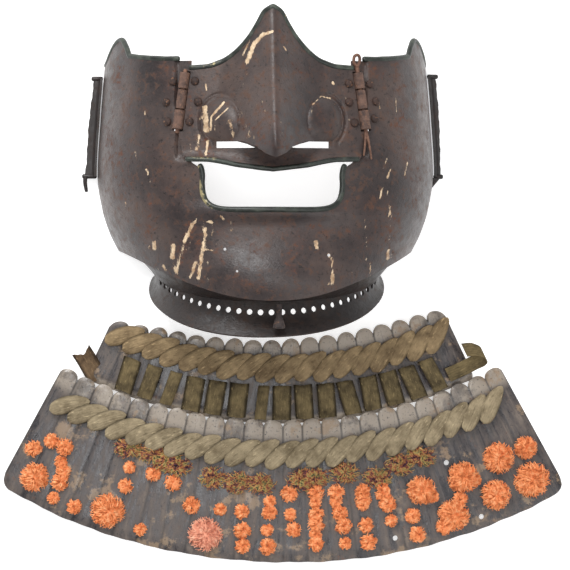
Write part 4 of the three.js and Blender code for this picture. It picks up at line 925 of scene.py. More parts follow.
def leaf(side, toward, own):
    """A leaf of sheet iron inside the mask, and the knuckles that belong to it."""
    field, wall = (cheek_z, FACE_WALL) if toward > 0 else (nose_z, NOSE_WALL)
    along, across = np.linspace(0.98, 0.02, 40)[:, None], np.linspace(0, 1, 16)[None]
    line = hinge_point(side, along.ravel())
    reach = (across if side * toward > 0 else across - 1) * LEAF_WIDTH
    x = line[:, :1] + reach
    sheet, _ = over(field, x, np.broadcast_to(line[:, 1:2], x.shape), -wall - PIECE_GAP)
    return joined([walled(sheet, LEAF_THICKNESS)] + [knuckle(side, index, radius) for index, radius in own])


LEAF_KNUCKLES = (("cheek", 1, ((0, 2.7), (2, 2.8))), ("nose", -1, ((1, 2.55),)))
for side, side_name in ((LEFT, "left"), (RIGHT, "right")):
    for plate, toward, knuckles in LEAF_KNUCKLES:
        piece(f"{side_name}_hinge_{plate}_leaf", mesh_of("leaf", leaf(side, toward, knuckles)), hinge_skin,
              [f"hinge_{side_name}_{plate}_leaf"])

plain_pin = tube(hinge_point(LEFT, np.linspace(-0.03, 1.04, 8)), PIN_RADIUS * 1.25, 12)
piece("left_hinge_plain_pin", mesh_of("pin", plain_pin), pin_skin, ["hinge_left_pin"])
SPLIT_EYE = ((0, 0, 0.4), (-1.6, 2.2, 1.2), (-1.5, 5.0, 1.5), (0, 6, 1.5), (1.2, 5.0, 1.3), (1.3, 2.4, 1),
             (0.3, 0.1, 0.6))
SPLIT_TAILS = (((0, 0, 0), (-0.4, -3.4, 1.6), (-0.9, -8.4, 3), (-1.4, -12.6, 3.4)),
               ((0, 0, 0), (0.8, -3.6, 1.2), (1.8, -9, 2.4), (2.6, -14.4, 2.6)))
shank = tube(hinge_point(RIGHT, np.linspace(-0.12, 1.04, 8)), PIN_RADIUS * 1.2, 12)
eye = tube(spline(hinge_point(RIGHT, -0.1) + np.array(SPLIT_EYE), 60), 0.8, 10)
tail_paths = [spline(hinge_point(RIGHT, 1.02) + np.array(tail), 40) for tail in SPLIT_TAILS]
tails = [tube(path, np.linspace(0.85, 0.5, 40), 10) for path in tail_paths]
piece("right_hinge_split_pin", mesh_of("pin", joined([shank, eye, *tails])), pin_skin,
      ["hinge_right_split_pin"])

RIVETS = (("left_cheek_upper", LEFT, 1, 0.16, 5.6), ("left_cheek_middle", LEFT, 1, 0.52, 7.6),
          ("left_cheek_lower", LEFT, 1, 0.86, 5.6), ("left_nose_upper", LEFT, -1, 0.16, 5.6),
          ("left_nose_middle", LEFT, -1, 0.52, 8.6), ("left_nose_lower", LEFT, -1, 0.86, 5.6),
          ("right_cheek_upper", RIGHT, 1, 0.2, 5.6), ("right_cheek_middle", RIGHT, 1, 0.5, 7.6),
          ("right_cheek_lower", RIGHT, 1, 0.8, 5.6), ("right_nose_upper", RIGHT, -1, 0.2, 5.6),
          ("right_nose_middle", RIGHT, -1, 0.52, 7), ("right_nose_lower", RIGHT, -1, 0.88, 5.6))
DOME = ((0.02, -0.4), (2.2, -0.4), (2.3, 0.1), (2.15, 0.7), (1.75, 1.15), (1.1, 1.45), (0.5, 1.56),
        (0.02, 1.6))
for rivet_name, side, toward, along, across in RIVETS:
    x, height, _ = hinge_point(side, along)[0]
    base, normal = over(cheek_z if toward > 0 else nose_z, x + side * toward * across, height, 0.1)
    head = mesh_of("rivet", lathe(DOME, 16, normal, base))
    piece(f"rivet_head_{rivet_name}", head, rivet_skin, [f"rivet_{rivet_name}"])

# %% [markdown]
# ## The collar, the peg and the ear flanges
# Under the jaw a flared band once carried the guard's laces through its row of holes.  It is
# one sheet: it comes down inside the jaw, turns out at the neck ring and runs on to its hem.
# The two rings are ellipses that rise toward the back, and the hem leans a little to the left.

# %% The collar
COLLAR_TURN, COLLAR_JAW_TURN, COLLAR_CENTRE_Z = 106 * DEGREE, 84 * DEGREE, 16
COLLAR_WALL, JAW_CLEARANCE, SKIRT_HOLLOW = 1.4, 0.8, 1.3
LACE_HOLES, LACE_PITCH, LACE_RADIUS, LACE_CUT = 27, 5.6 * DEGREE, 1.5, 6
NECK = dict(front=-8.6, rise=15, power=1.1, half_width=59, depth=46, lean=0)
HEM = dict(front=-26.4, rise=25, power=1.05, half_width=62, depth=53, lean=1.7)


def collar_ring(turn, ring):
    """An ellipse round the throat.  Its height grows by a power of 1 minus the cosine of the turn,
    and leans down to the left by the sine."""
    height = ring["front"] + ring["rise"] * (1 - np.cos(turn)) ** ring["power"] + ring["lean"] * np.sin(turn)
    z = COLLAR_CENTRE_Z + ring["depth"] * np.cos(turn)
    return np.stack([ring["half_width"] * np.sin(turn), height, z], -1)


def inside_jaw(turn, above):
    """A place a clear gap inside the jaw, this far above its edge."""
    height = jaw_edge_at(turn) + above
    ahead, behind = face_point(turn + 0.02, height), face_point(turn - 0.02, height)
    higher, lower = face_point(turn, height + 0.5), face_point(turn, height - 0.5)
    outwards = unit(np.cross(ahead - behind, higher - lower))
    return face_point(turn, height) - outwards * (FACE_WALL + JAW_CLEARANCE)


def skirt_point(turn, drop):
    """A place on the skirt, from the neck ring, 0, down to the hem, 1, slightly hollowed."""
    out = np.stack([np.sin(turn), 0 * turn, np.cos(turn)], -1)
    hollow = SKIRT_HOLLOW * np.sin(math.pi * drop) * out
    return collar_ring(turn, NECK) * (1 - drop) + collar_ring(turn, HEM) * drop - hollow


across = np.linspace(-1, 1, 261)
skirt_rows = [skirt_point(across * COLLAR_TURN, drop) for drop in np.linspace(1, 0, 12)]
jaw_rows = [inside_jaw(across * COLLAR_JAW_TURN, above) for above in (0.9, 5)]
collar_shape = mesh_of("collar_shape", walled(np.stack([*skirt_rows, *jaw_rows]), COLLAR_WALL))
laces = []
for number in range(LACE_HOLES):
    turn = (number - (LACE_HOLES - 1) / 2) * LACE_PITCH
    centre = skirt_point(np.array(turn), 0.31 - 0.26 * (turn / 1.2) ** 2)
    out = np.array([math.sin(turn), 0, math.cos(turn)]) * LACE_CUT
    laces.append(tube([centre - out, centre + out], LACE_RADIUS, 10, upward=(0, 1, 0), round_ends=False))
# The collar wears the darker iron, whose darkening is painted shade under the chin.
piece("laced_collar", carved(collar_shape, laces), shaded_iron_skin, ["collar"])
PEG_PROFILE = ((0.2, 0), (1.5, 0.2), (1.6, 7.4), (2.3, 8.6), (2.9, 10.6), (3.3, 12.2), (2.9, 13), (0.2, 13.2))
peg_mesh = mesh_of("peg_shape", lathe(PEG_PROFILE, 20, (0, -1, 0), (3.4, PEG_TOP_HEIGHT, 72)))
piece("chin_peg_knob", peg_mesh, peg_skin, ["chin_peg"])

# %% [markdown]
# Each ear flange is an angle: a lip along the cheek's side, a small round bend, and a flat
# strip turned outward, with a bead along its top and its foot.  The left bead runs on down as a
# prong; the right flange's foot is folded over into a small ear.

# %% Ear flanges
EAR_WALL, EAR_FACE, EAR_LIP, EAR_BEND, EAR_BEAD, EAR_FOOT = 1.3, 4.5, 9.0, 1.6, 1.25, 57.5
EAR_ROWS, LIP_COLUMNS, BEND_COLUMNS, STRIP_COLUMNS = 41, 4, 6, 6
ear_reach_at = {LEFT: curve_through((EAR_FOOT, 95.6), (65, 94.7), (82, 93.7), (109, 90.6)),
                RIGHT: curve_through((EAR_FOOT, 93), (86, 92.3), (110.5, 90.3))}
EAR_TOP = {LEFT: 109, RIGHT: 110.5}


def ear_flange(side):
    """The angle's section, lip then round bend then strip, at each height, and the beads."""
    height = np.linspace(EAR_FOOT, EAR_TOP[side], EAR_ROWS)[:, None]
    bend = half_width_at(height) + 0.5 + EAR_WALL
    reach = ear_reach_at[side](height) + 0.25 * np.sin(height * 0.9) * np.sin(height * 0.37)
    quarter = np.linspace(0, 90, BEND_COLUMNS) * DEGREE
    lip_z = np.broadcast_to(np.linspace(EAR_LIP, EAR_FACE + EAR_BEND, LIP_COLUMNS), (EAR_ROWS, LIP_COLUMNS))
    bend_x = bend + EAR_BEND * (1 - np.cos(quarter))
    bend_z = np.broadcast_to(EAR_FACE + EAR_BEND * (1 - np.sin(quarter)), (EAR_ROWS, BEND_COLUMNS))
    strip_x = bend + EAR_BEND + (reach - bend - EAR_BEND) * np.linspace(0.2, 1, STRIP_COLUMNS)
    x = np.concatenate([np.broadcast_to(bend, lip_z.shape), bend_x, strip_x], 1) * side
    z = np.concatenate([lip_z, bend_z, np.full(strip_x.shape, EAR_FACE)], 1)
    points = np.stack([x, np.broadcast_to(height, x.shape), z], -1)[:, ::side]
    parts = [walled(points, EAR_WALL)]
    for level in (EAR_FOOT, EAR_TOP[side]):
        ends = [half_width_at(level) + 1.2, ear_reach_at[side](level) + 0.6]
        parts.append(tube([(side * x, level, EAR_FACE - 0.6) for x in ends], EAR_BEAD, 14))
    corner = ear_reach_at[side](EAR_FOOT)
    if side == LEFT:
        prong = [(-corner + 0.4, EAR_FOOT, 3.9), (-corner + 0.2, 54, 3.9), (-corner + 0.9, 49.8, 3.7)]
        parts.append(tube(spline(prong, 12), np.linspace(EAR_BEAD, 0.9, 12), 12))
    else:
        fold = [[(87.6, 51.6, 4.3), (88.4, 52, 4.5)], [(86.2, 57, 4.5), (corner, 57, 4.9)]]
        parts.append(walled(np.array(fold, float), 1.0))
    return joined(parts)


for side, word in ((LEFT, "left"), (RIGHT, "right")):
    ear_mesh = mesh_of(f"ear_shape_{word}", ear_flange(side))
    # The ear flanges wear the same darker iron, its darkening painted shade.
    piece(f"{word}_ear_flange", ear_mesh, shaded_iron_skin, [f"ear_flange_{word}"])

# %% [markdown]
# ## The throat guard's two lames
# A lame is one stiff strip of lacquered scales laced edge to edge.  Both lie on a fan: a place
# on it is a distance from the fan's middle and a bearing from straight down, and the strip
# bows up a little in the middle.  One scale's form repeats across: a rounded head, a crown, and
# an edge that laps its neighbour.

# %% The fan and its strips
GUARD_X, GUARD_Y, GUARD_BOW, GUARD_SPREAD, GUARD_LIFT = 8, 168, 12, 28.5 * DEGREE, 0.4
LAME_THICKNESS, THINNEST = 2.2, 0.7
COLUMNS_PER_SCALE, STRIP_ROWS, FAN_RADIUS = 12, 34, 270


def guard_point(radius, bearing, lift):
    """A place on the bowed fan: bearing in radians from straight down, lift in mm over it."""
    radius, bearing, lift = np.broadcast_arrays(radius, bearing, lift)
    bow = GUARD_BOW * (1 - (bearing / GUARD_SPREAD) ** 2) + GUARD_LIFT
    return np.stack([GUARD_X + radius * np.sin(bearing), GUARD_Y - radius * np.cos(bearing), bow + lift], -1)


def keep_vectors(mesh, name, values):
    """Keeps three numbers for each corner of the mesh, for a finish to read."""
    flat = np.asarray(values, np.float32).ravel()
    mesh.attributes.new(name, "FLOAT_VECTOR", "POINT").data.foreach_set("vector", flat)


def scale_strip(first, last, scales, head_at, foot_at, corner, heads, tuck, head_lift):
    """A lame: the head of each scale is a flat round arc, and its crown and lapped edge fade from
    the head down.  The strip is a solid between that surface and its flat underside.  heads is how
    deep the heads are cut apart; tuck sinks the foot under the next lame, and head_lift clears it."""
    along = np.linspace(0, scales, scales * COLUMNS_PER_SCALE + 1)
    bearing = first + (last - first) * along / scales
    part = along % 1
    from_middle = np.abs(part * 2 - 1)
    wear = 0.35 * np.sin(along * 1.7) + 0.25 * np.sin(along * 4.3 + 1)
    head = head_at(bearing / DEGREE) + heads * (1 - np.sqrt(1 - (0.985 * from_middle) ** 2)) + wear * 0.6
    foot_full = foot_at(bearing / DEGREE) + 0.18 * np.sin(along * 2.9) + 0.12 * np.sin(along * 7.1)
    from_side = np.minimum(bearing - first, last - bearing) * foot_full
    into = np.maximum(0, corner - from_side)
    foot = foot_full - corner + np.sqrt(np.maximum(corner ** 2 - into ** 2, 0))
    down = np.linspace(1, 0, STRIP_ROWS)[:, None] ** 1.5
    radius = head + (foot - head) * down
    fade = 0.32 + 0.68 * hill(radius - head, 11)
    crown = 1.25 * np.sqrt(1 - (0.97 * from_middle) ** 2) + 0.7 * (1 - part)
    edge = 1 - hill(radius - head, 1.1) * 0.45
    rim_down = 1 - 0.35 * hill(radius - foot, 1.6)
    lift = LAME_THICKNESS * rim_down + crown * fade * edge - tuck * hill(radius - foot, 3)
    under = np.minimum(head_lift * hill(radius - head, 4), lift - THINNEST)
    solid = between(guard_point(radius, bearing, lift), guard_point(radius, bearing, under))
    # The groove number is painted shade: it darkens each scale's sides, most near the heads, where the cuts
    # between scales lie in shade.
    groove = np.clip(from_middle * 6 - 5, 0, 1) * (0.35 + 0.65 * fade)
    return solid, np.concatenate([groove.ravel(), groove.ravel()])


def fan_places(mesh):
    """Each corner's place on the unrolled fan, in metres: along its arc, and out from the middle."""
    x, y, z = corner_places(mesh).T
    bearing, radius = np.arctan2(x - GUARD_X, GUARD_Y - y), np.hypot(x - GUARD_X, y - GUARD_Y)
    return np.stack([bearing * FAN_RADIUS, radius, z], -1) * MM


# %% [markdown]
# Gloss black lacquer under old dust: the dust lies in streaks that run down the scales and is
# thickest on the heads, and elsewhere the lacquer shows blue-black through it.

# %% Finish: dusty scale lacquer
def scale_lacquer():
    """Streaked dust over gloss, with painted shade in the grooves between scales, and chipped brown in
    places.
    """
    material, tree, shader = new_finish("dusty_scale_lacquer", specular=0.55)
    fan = add(tree, "Attribute", attribute_type="GEOMETRY", attribute_name="fan").outputs["Vector"]
    run = add(tree, "Mapping", {"Vector": fan, "Scale": (330, 60, 330)}).outputs[0]
    streak = noise(tree, 1, 6, 0.62, run, 0.4)
    cloud = noise(tree, 46, 6, 0.65)
    dust = plus(tree, times(tree, streak, 0.55), times(tree, cloud, 0.45))
    tint = steps(tree, dust, (0.36, (27, 27, 33)), (0.46, (54, 49, 50)), (0.56, (84, 75, 70)),
                 (0.7, (118, 106, 96)))
    out = add(tree, "SeparateXYZ", {0: fan}).outputs[1]
    upper_dust = squeeze(tree, out, 0.208, 0.201)
    lower_dust = times(tree, squeeze(tree, out, 0.236, 0.2385), squeeze(tree, out, 0.254, 0.246))
    patchy = squeeze(tree, cloud, 0.38, 0.5, 0.35, 0.9)
    head_dust = times(tree, sums(tree, "MAXIMUM", upper_dust, lower_dust), patchy)
    tint = cover(tree, head_dust, tint, (150, 139, 126))
    bare = times(tree, squeeze(tree, noise(tree, 75, 6, 0.7), 0.55, 0.62), 0.75)
    tint = cover(tree, bare, tint, (138, 116, 92))
    chip = squeeze(tree, noise(tree, 260, 6, 0.72), 0.6, 0.67)
    tint = cover(tree, times(tree, chip, 0.6), tint, (96, 66, 50))
    pit = squeeze(tree, noise(tree, 700, 4, 0.7), 0.34, 0.42, 0.7, 0)
    tint = cover(tree, pit, tint, (26, 24, 27))
    # Painted shade: the grooves between scales darkened to near black.
    tint = cover(tree, times(tree, painted(tree, "groove"), 0.85), tint, (22, 20, 23))
    feed(tree, shader.inputs["Base Color"], tint)
    feed(tree, shader.inputs["Roughness"], squeeze(tree, dust, 0.4, 0.62, 0.2, 0.62))
    relief(tree, shader, (cloud, 0.3, 0.0016), (streak, 0.3, 0.0005), (noise(tree, 1000, 4), 0.3, 0.0002))
    return material


scale_skin = scale_lacquer()
lower_heads = curve_through((-29, 239.6), (0, 238.9), (29, 239.8))
lower_foot = curve_through((-28.7, 310.8), (-20, 312.8), (0, 314.2), (13, 315.4), (28.9, 315.2))
upper_heads = curve_through((-25.5, 206), (-23, 204), (-18.5, 200.9), (-12.5, 198.9), (-6.5, 197.6),
                            (2.5, 196.2), (8.5, 195.6), (14.5, 195.8), (20.5, 197), (25.5, 200))
upper_foot = curve_through((-26, 240.4), (0, 240.8), (26, 240.4))
lower_part, lower_groove_shade = scale_strip(-28.6 * DEGREE, 28.9 * DEGREE, 24, lower_heads, lower_foot,
                                       corner=7, heads=4.2, tuck=0.0, head_lift=1.5)
upper_part, upper_groove_shade = scale_strip(-25.5 * DEGREE, 25.4 * DEGREE, 18, upper_heads, upper_foot,
                                       corner=2.5, heads=5.2, tuck=1.6, head_lift=0.0)
LAME_HOLES = ((18.5, 276.2), (20.1, 309.4), (11.3, 307.6))
lower_shape, upper_mesh = mesh_of("lower_lame_shape", lower_part), mesh_of("upper_lame_shape", upper_part)
# The groove numbers carry painted shade for the finish to read.
paint(lower_shape, "groove", lower_groove_shade)
paint(upper_mesh, "groove", upper_groove_shade)
hole_bars = [tube(guard_point(np.full(2, radius), np.full(2, bearing * DEGREE), np.array([-5, 9])), 1.4, 12,
                  upward=(0, 1, 0), round_ends=False) for bearing, radius in LAME_HOLES]
lower_mesh = carved(lower_shape, hole_bars)
for lame_mesh in (lower_mesh, upper_mesh):
    keep_vectors(lame_mesh, "fan", fan_places(lame_mesh))
piece("lower_lame_of_scales", lower_mesh, scale_skin, ["lame_lower"], smooth=50)
piece("upper_lame_of_scales", upper_mesh, scale_skin, ["lame_upper"], smooth=50)

# %% [markdown]
# ## Lacing tape
# The lames hang on flat tape.  Across each one runs a braid: a row of folds like leaves, each
# with its round belly to the lower left and its point tucked under the next.  Between the lames
# single tapes lie side by side.  All of them are cloth cut from tape
# of one width, and each tells its size when cut; on the real guard a narrower one has its edges
# tucked in, and here it is simply drawn narrower.

# %% Helpers for tape
def tape_finish(name, low, high):
    """Dusty woven tape: fine ribs along the weave, dirt in clouds, painted shade along its edges, and frayed
    pale threads.
    """
    material, tree, shader = new_finish(name, specular=0.12)
    weave = add(tree, "Attribute", attribute_type="GEOMETRY", attribute_name="weave").outputs["Vector"]
    ribs = add(tree, "TexWave", {"Vector": weave, "Scale": 260, "Distortion": 2.2, "Detail": 2},
               wave_type="BANDS", bands_direction="Y").outputs["Fac"]
    drawn_out = add(tree, "Mapping", {"Vector": weave, "Scale": (260, 900, 900)}).outputs[0]
    yarn = noise(tree, 1, 4, 0.6, drawn_out)
    dirt = noise(tree, 120, 6, 0.65)
    tint = steps(tree, dirt, (0.32, low), (0.64, high))
    # dark serves both for darker yarns and for the painted shade along the edges.
    dark = tuple(0.5 * channel for channel in low)
    tint = cover(tree, squeeze(tree, yarn, 0.3, 0.46, 0.5, 0), tint, dark)
    # Painted shade: the outer millimetres of the tape's width, where it turns under or meets its neighbour,
    # are darkened.
    over = sums(tree, "ABSOLUTE", add(tree, "SeparateXYZ", {0: weave}).outputs[1])
    tint = cover(tree, squeeze(tree, over, 0.0031, 0.0049, 0, 0.8), tint, dark)
    pale = tuple(min(255, 1.3 * channel) for channel in high)
    tint = cover(tree, squeeze(tree, yarn, 0.58, 0.7, 0, 0.6), tint, pale)
    feed(tree, shader.inputs["Base Color"], tint)
    feed(tree, shader.inputs["Roughness"], 0.88)
    relief(tree, shader, (ribs, 0.35, 0.0003), (yarn, 0.3, 0.0003), (dirt, 0.4, 0.0006))
    return material


TAPE_CUT_WIDTH = 10.5


def one_side(mesh):
    """Half the mesh's area in square metres: the cloth's own area, as it has two sides."""
    areas = np.empty(len(mesh.polygons))
    mesh.polygons.foreach_get("area", areas)
    return float(areas.sum() / 2)


def tape_piece(name, part, weave, finish, node):
    """A piece of tape with its weave's directions and its cut size, standing in for its CAD part."""
    mesh = mesh_of(name, part)
    keep_vectors(mesh, "weave", np.asarray(weave) * MM)
    made = piece(name, mesh, finish, [node], smooth=60)
    cut = (TAPE_CUT_WIDTH * MM, one_side(mesh) / (TAPE_CUT_WIDTH * MM))
    print(name, "cut", [round(size, 4) for size in cut])
    return made


FOLD_STEPS, FOLD_SIDES, FOLD_FLATTEN, FOLD_LENGTH = 22, 16, 0.34, 21
FOLD_REACH, FOLD_FALL, FOLD_HALF_WIDTH, FOLD_OFFSET = 17.5, 13.4, 4.75, 40


def braid(middle_radius, spread, count, base):
    """The folds of one braid.  A fold's half width grows as the square root of the sine of its
    place, fuller toward its belly; its middle line falls from the belly to the tucked point."""
    parts, weave = [], []
    along, turn = np.linspace(0, 1, FOLD_STEPS), np.arange(FOLD_SIDES) * 2 * math.pi / FOLD_SIDES
    for number in range(count):
        bearing = ((number + 0.5) / count * 2 - 1) * spread
        wobble = math.sin(number * 2.4) * 0.5
        reach = (FOLD_REACH + wobble) / middle_radius
        radius = middle_radius + (6.4 + wobble) - FOLD_FALL * along - 1.5 * np.sin(math.pi * along)
        path = guard_point(radius, bearing + reach * (along - 0.46), base + 1.5 - 1.5 * along)
        leaf_shape = np.sqrt(np.sin(math.pi * along ** 0.82)) * (1 - 0.22 * along)
        half = 0.25 + (FOLD_HALF_WIDTH + 0.2 * wobble) * leaf_shape
        parts.append(tube(path, half, FOLD_SIDES, flatten=FOLD_FLATTEN, round_ends=False))
        over = half[:, None] * np.cos(turn)
        run = np.broadcast_to((along * FOLD_LENGTH + number * FOLD_OFFSET)[:, None], over.shape)
        weave.append(np.stack([run, over, 0 * over], -1).reshape(-1, 3))
    return joined(parts), np.concatenate(weave)


braid_skin = tape_finish("khaki_braid", (104, 92, 72), (152, 138, 112))
upper_braid_skin = tape_finish("tan_braid", (94, 78, 58), (144, 124, 94))
olive_skin = tape_finish("olive_tape", (60, 52, 38), (112, 98, 70))
brown_skin = tape_finish("brown_tape", (66, 52, 40), (112, 92, 70))
part, weave = braid(257.6, 27 * DEGREE, 23, 4.6)
tape_piece("lower_braid", part, weave, braid_skin, "braid_lower")
part, weave = braid(212.3, 24.4 * DEGREE, 18, 4.8)
tape_piece("upper_braid", part, weave, upper_braid_skin, "braid_upper")

# %% [markdown]
# A tape between the lames is crowned across, rolled under at its upper end, and lies with a
# dark gap beside it.  Two ends are loose: the left one sticks out flat, and the right one curls
# up and back over itself.

# %% The tapes between the lames, and the two loose ends
TAPE_ROWS = ((-20.6, 10.2, -1.2, 1.6), (-17.6, 8.6, 0.8, 2.4), (-14.7, 7, 1.6, 2.2), (-11.7, 10.6, -0.4, 1.4),
             (-8.8, 10.4, 0.3, 1.6), (-5.8, 10.8, 0.2, 1.4), (-2.6, 6.4, 1.2, 2), (0, 10.6, 0.2, 1.6),
             (2.9, 10.4, -0.3, 1.4), (5.9, 10.2, 0.4, 2), (8.9, 9.8, -2.6, 1.6), (11.8, 10, 0.4, 2.2),
             (14.7, 10.4, -0.8, 1.8), (17.6, 9.8, -2.2, 2), (20.5, 8.8, -2.4, 2.4))
TAPE_WALL, TAPE_BASE, TAPE_START, TAPE_LENGTH = 0.9, 4.2, 221, 18
TAPE_STEPS, TAPE_COLUMNS = 22, 13
RIBBON_STEPS, RIBBON_COLUMNS = 40, 9


def grid_weave(rows, columns, length, width):
    """The places along and across a tape of the two grids that make its wall."""
    lengthways, sideways = np.linspace(0, length, rows), np.linspace(-width / 2, width / 2, columns)
    along, over = np.meshgrid(lengthways, sideways, indexing="ij")
    once = np.stack([along, over, 0 * along], -1).reshape(-1, 3)
    return np.concatenate([once, once])


for number, (bearing, width, twist, lift) in enumerate(TAPE_ROWS, start=1):
    across = np.linspace(-0.5, 0.5, TAPE_COLUMNS)[None, :]
    along = np.linspace(1, 0, TAPE_STEPS)[:, None]
    radius = TAPE_START + TAPE_LENGTH * along + 0.5 * np.sin(number * 1.9) * (2 * across) ** 2
    sideways = across * width * 0.94 + twist * (0.5 - along)
    roll = 1.5 * hill(along, 0.16) - 2.0 * hill(along, 0.05)
    wave = lift * 0.7 * np.sin(math.pi * along) + 0.25 * np.sin(number * 5 + along * 9)
    crown = 1.3 * (1 - (2 * across) ** 4)
    height = TAPE_BASE + crown + wave + roll - 0.6 * along
    points = guard_point(radius, bearing * DEGREE + sideways / radius, height)
    weave = grid_weave(TAPE_STEPS, TAPE_COLUMNS, TAPE_LENGTH, width)
    tape_piece(f"olive_tape_{number}", walled(points, TAPE_WALL), weave, olive_skin, f"tape_{number}")


def ribbon(spine, half_across, notch=0.0):
    """A tape along a spline through a few places, this far to each side, its far end notched."""
    path = spline(spine, RIBBON_STEPS)
    over = np.linspace(-1, 1, RIBBON_COLUMNS)[None, :, None]
    points = path[:, None] + over * np.asarray(half_across, float)
    share = np.linspace(0, 1, RIBBON_STEPS)[:, None, None] ** 6
    ahead = unit(path[-1:] - path[-3:-2])[:, None]
    return points + ahead * share * notch * (np.abs(over) - 0.6) * (1 + 0.3 * np.sin(over * 7))


left_spine = ((-88.6, -50, 5.2), (-91.5, -44.6, 6.2), (-94.5, -39.4, 7.2), (-97.2, -35.2, 7.8))
points = ribbon(left_spine, (4.6, 2.6, 0), notch=3.2)
weave = grid_weave(RIBBON_STEPS, RIBBON_COLUMNS, 17, 10.5)
tape_piece("loose_tape_left", walled(points, TAPE_WALL), weave, brown_skin, "tape_loose_left")
right_spine = ((96.5, -47.5, 8.6), (103, -44.6, 10), (110, -41, 11.4), (115, -38.4, 13.6),
               (114.6, -35.8, 16.6), (110, -34, 18.2), (104.4, -34.4, 17.6))
points = ribbon(right_spine, (-1.7, 3.4, 0.8))
weave = grid_weave(RIBBON_STEPS, RIBBON_COLUMNS, 29, 7.2)
tape_piece("curled_tape_right", walled(points, TAPE_WALL), weave, olive_skin, "tape_curled_right")

# %% [markdown]
# ## Orange silk
# Silk cords once tied the lames to the lining.  Their knots are left: big fluffed rosettes,
# many small knots in rows, and frayed ends of mixed threads.  A knot is a heap of short threads,
# each a bent tube of three sides that starts near the middle and falls outwards.

# %% Helper for threads
THREAD_STEPS, THREAD_SIDES = 7, 3
THREAD_WIDTHS = np.array([0.5, 1, 1, 1, 1, 0.9, 0.35])


def threads(centres, reach, height, thick, each, seed, flat=1.0):
    """Bent threads round many centres at once: 'each' of them to a centre, every one a curve that
    rises, turns outward and falls, as arrays.  Each thread is a closed tube of three sides."""
    draw = np.random.default_rng(seed)
    centres, reach = np.repeat(np.asarray(centres, float), each, 0), np.repeat(np.asarray(reach, float), each)
    height, count = np.repeat(np.asarray(height, float), each), len(reach)
    heading = draw.uniform(0, 2 * math.pi, count)
    bend, start = draw.normal(0, 0.7, count), draw.uniform(0, 0.45, count)
    far, rise = draw.uniform(0.6, 1.1, count), draw.uniform(0.5, 1.1, count)
    share = np.linspace(0, 1, THREAD_STEPS)[:, None]
    out = reach * (start + (far - start) * share)
    angle = heading + bend * share
    up = height * rise * (0.35 + np.sin(math.pi * (0.2 + 0.72 * share))) * (1 - 0.55 * start) * 0.75
    path = centres + np.stack([out * np.cos(angle), out * np.sin(angle) * flat, up], -1)
    along = unit(np.gradient(path, axis=0))
    side = unit(np.cross(along, [0, 0, 1.0]))
    top = np.cross(side, along)
    width = thick * draw.uniform(0.7, 1.3, count) * THREAD_WIDTHS[:, None]
    turn = np.arange(THREAD_SIDES) * 2 * math.pi / THREAD_SIDES
    ring = side[..., None, :] * np.cos(turn)[:, None] + top[..., None, :] * np.sin(turn)[:, None]
    points = (path[..., None, :] + ring * width[..., None, None]).transpose(1, 0, 2, 3).reshape(-1, 3)
    corners = THREAD_STEPS * THREAD_SIDES
    cell = grid_quads(THREAD_STEPS, THREAD_SIDES, close_columns=True)[:, ::-1]
    first = (np.arange(count) * corners)[:, None, None]
    caps = np.array([[0, 1, 2], [corners - 1, corners - 2, corners - 3]])
    return points, [(cell[None] + first).reshape(-1, 4), (caps[None] + first).reshape(-1, 3)]


def silk_finish(name, *tints):
    """Threads of a few tints, changing from one lock to the next."""
    material, tree, shader = new_finish(name, specular=0.2)
    lock = noise(tree, 420, 4, 0.7)
    stops = [(0.34 + 0.3 * number / (len(tints) - 1), tint) for number, tint in enumerate(tints)]
    feed(tree, shader.inputs["Base Color"], steps(tree, lock, *stops))
    feed(tree, shader.inputs["Roughness"], 0.8)
    relief(tree, shader, (noise(tree, 2200, 3), 0.5, 0.0002))
    return material


# %% [markdown]
# The ten rosettes are domes of silk under threads; one has faded to pink.  The small knots are
# little heaps, and the frayed ends lie in the gaps under the lower braid.

# %% Rosettes, small knots and frayed ends
ROSETTES = (("left_edge", -25.8, 299, 7.6), ("left_low", -17.7, 301, 9), ("middle_low", -7.7, 302, 8.8),
            ("right_inner", 15, 286, 7.6), ("right_low", 17.5, 303.6, 8.2),
            ("right_middle", 19.7, 286.5, 8.4), ("right_foot", 22.2, 301.5, 7.8),
            ("right_high", 24, 284, 8.2), ("right_corner", 27.1, 285.5, 6), ("right_edge", 26.2, 302.2, 9.4))
SMALL_KNOTS = ((-25.8, 278), (-24.3, 278), (-24, 286), (-23.3, 290), (-23.3, 296), (-23.2, 305),
               (-21, 305), (-27.2, 286), (-14.1, 306), (-14.2, 276), (-11.9, 278), (-16.9, 276),
               (-16.7, 286), (-9.5, 288), (-6.5, 288), (-4.2, 288), (-4, 298), (-1.5, 297), (-3.9, 306),
               (-1.4, 306), (-1.3, 282), (-1.3, 288), (0.8, 278), (0.9, 289), (1.2, 297), (3.7, 278),
               (3.6, 283), (3.6, 289), (3.5, 295), (3.4, 300), (3.4, 305), (5.9, 279), (5.8, 284),
               (6.1, 290), (6.3, 297), (6.3, 306), (8.8, 280), (8.7, 284), (8.6, 287), (8.6, 298),
               (8.6, 307), (11, 279), (10.9, 283), (11.2, 289), (11.2, 298), (13.5, 298), (13.5, 308),
               (16, 291), (18.6, 297), (16.3, 308), (20.8, 290))
FRAYED_ENDS = ((13.4, 270), (7.1, 269), (3.7, 270), (-14.7, 266), (-13.1, 268), (-11.9, 269), (-7.6, 272),
               (-5, 273), (-2.4, 273), (2.2, 271), (10.7, 274), (-17.6, 266), (15.9, 269))
ON_LAME, DOME_HEIGHT, DOME_SHARE = 3.2, 4.2, 0.72
orange_silk = silk_finish("orange_silk", (176, 92, 52), (232, 142, 88), (242, 176, 126))
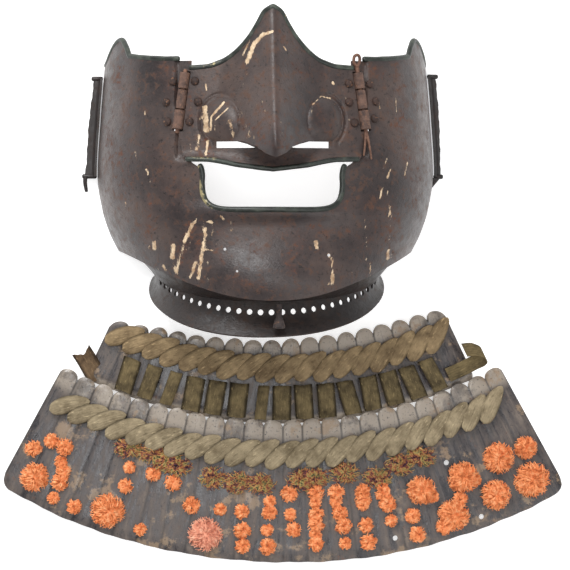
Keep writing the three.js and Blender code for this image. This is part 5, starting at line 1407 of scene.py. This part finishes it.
pink_silk = silk_finish("faded_silk", (176, 108, 88), (226, 152, 124), (236, 182, 154))
mixed_silk = silk_finish("mixed_silk", (34, 36, 50), (96, 52, 62), (180, 116, 72), (172, 156, 98),
                         (62, 68, 52))
SILK_DOME = ((1, -0.2), (1.02, 0.12), (0.92, 0.36), (0.7, 0.62), (0.4, 0.8))
for number, (name, bearing, radius, size) in enumerate(ROSETTES):
    centre = guard_point(np.array(radius), np.array(bearing * DEGREE), np.array(ON_LAME))
    profile = [(out * size * DOME_SHARE, up * DOME_HEIGHT) for out, up in SILK_DOME]
    points, faces = lathe(profile + [(0.15, 0.86 * DOME_HEIGHT)], 32, (0, 0, 1), centre)
    spoke = np.arctan2(points[:, 1] - centre[1], points[:, 0] - centre[0])
    lobes = 1 + 0.1 * np.sin(spoke * 4 + number) + 0.05 * np.sin(spoke * 9 + number * 2)
    points[:, :2] = centre[:2] + (points[:, :2] - centre[:2]) * lobes[:, None]
    strands = threads([centre], [size], [4.6], thick=0.3, each=420, seed=40 + number)
    mesh = mesh_of(f"rosette_shape_{name}", joined([(points, faces), strands]))
    finish = pink_silk if name == "middle_low" else orange_silk
    piece(f"silk_rosette_{name}", mesh, finish, [f"rosette_{name}"], smooth=70)

knot_at = np.array(SMALL_KNOTS, float)
centres = guard_point(knot_at[:, 1], knot_at[:, 0] * DEGREE, np.full(len(knot_at), ON_LAME - 0.2))
sizes = 4.1 + 0.7 * np.sin(np.arange(len(knot_at)) * 2.1)
knots = threads(centres, sizes, sizes * 0.62, thick=0.36, each=130, seed=7)
piece("small_silk_knots", mesh_of("knot_shape", knots), orange_silk, smooth=70)
fray_at = np.array(FRAYED_ENDS, float)
centres = guard_point(fray_at[:, 1], fray_at[:, 0] * DEGREE, np.full(len(fray_at), ON_LAME))
reach, height = np.full(len(fray_at), 8.5), np.full(len(fray_at), 3.0)
frays = threads(centres, reach, height, thick=0.26, each=110, seed=9, flat=0.75)
piece("frayed_silk_ends", mesh_of("fray_shape", frays), mixed_silk, smooth=70)
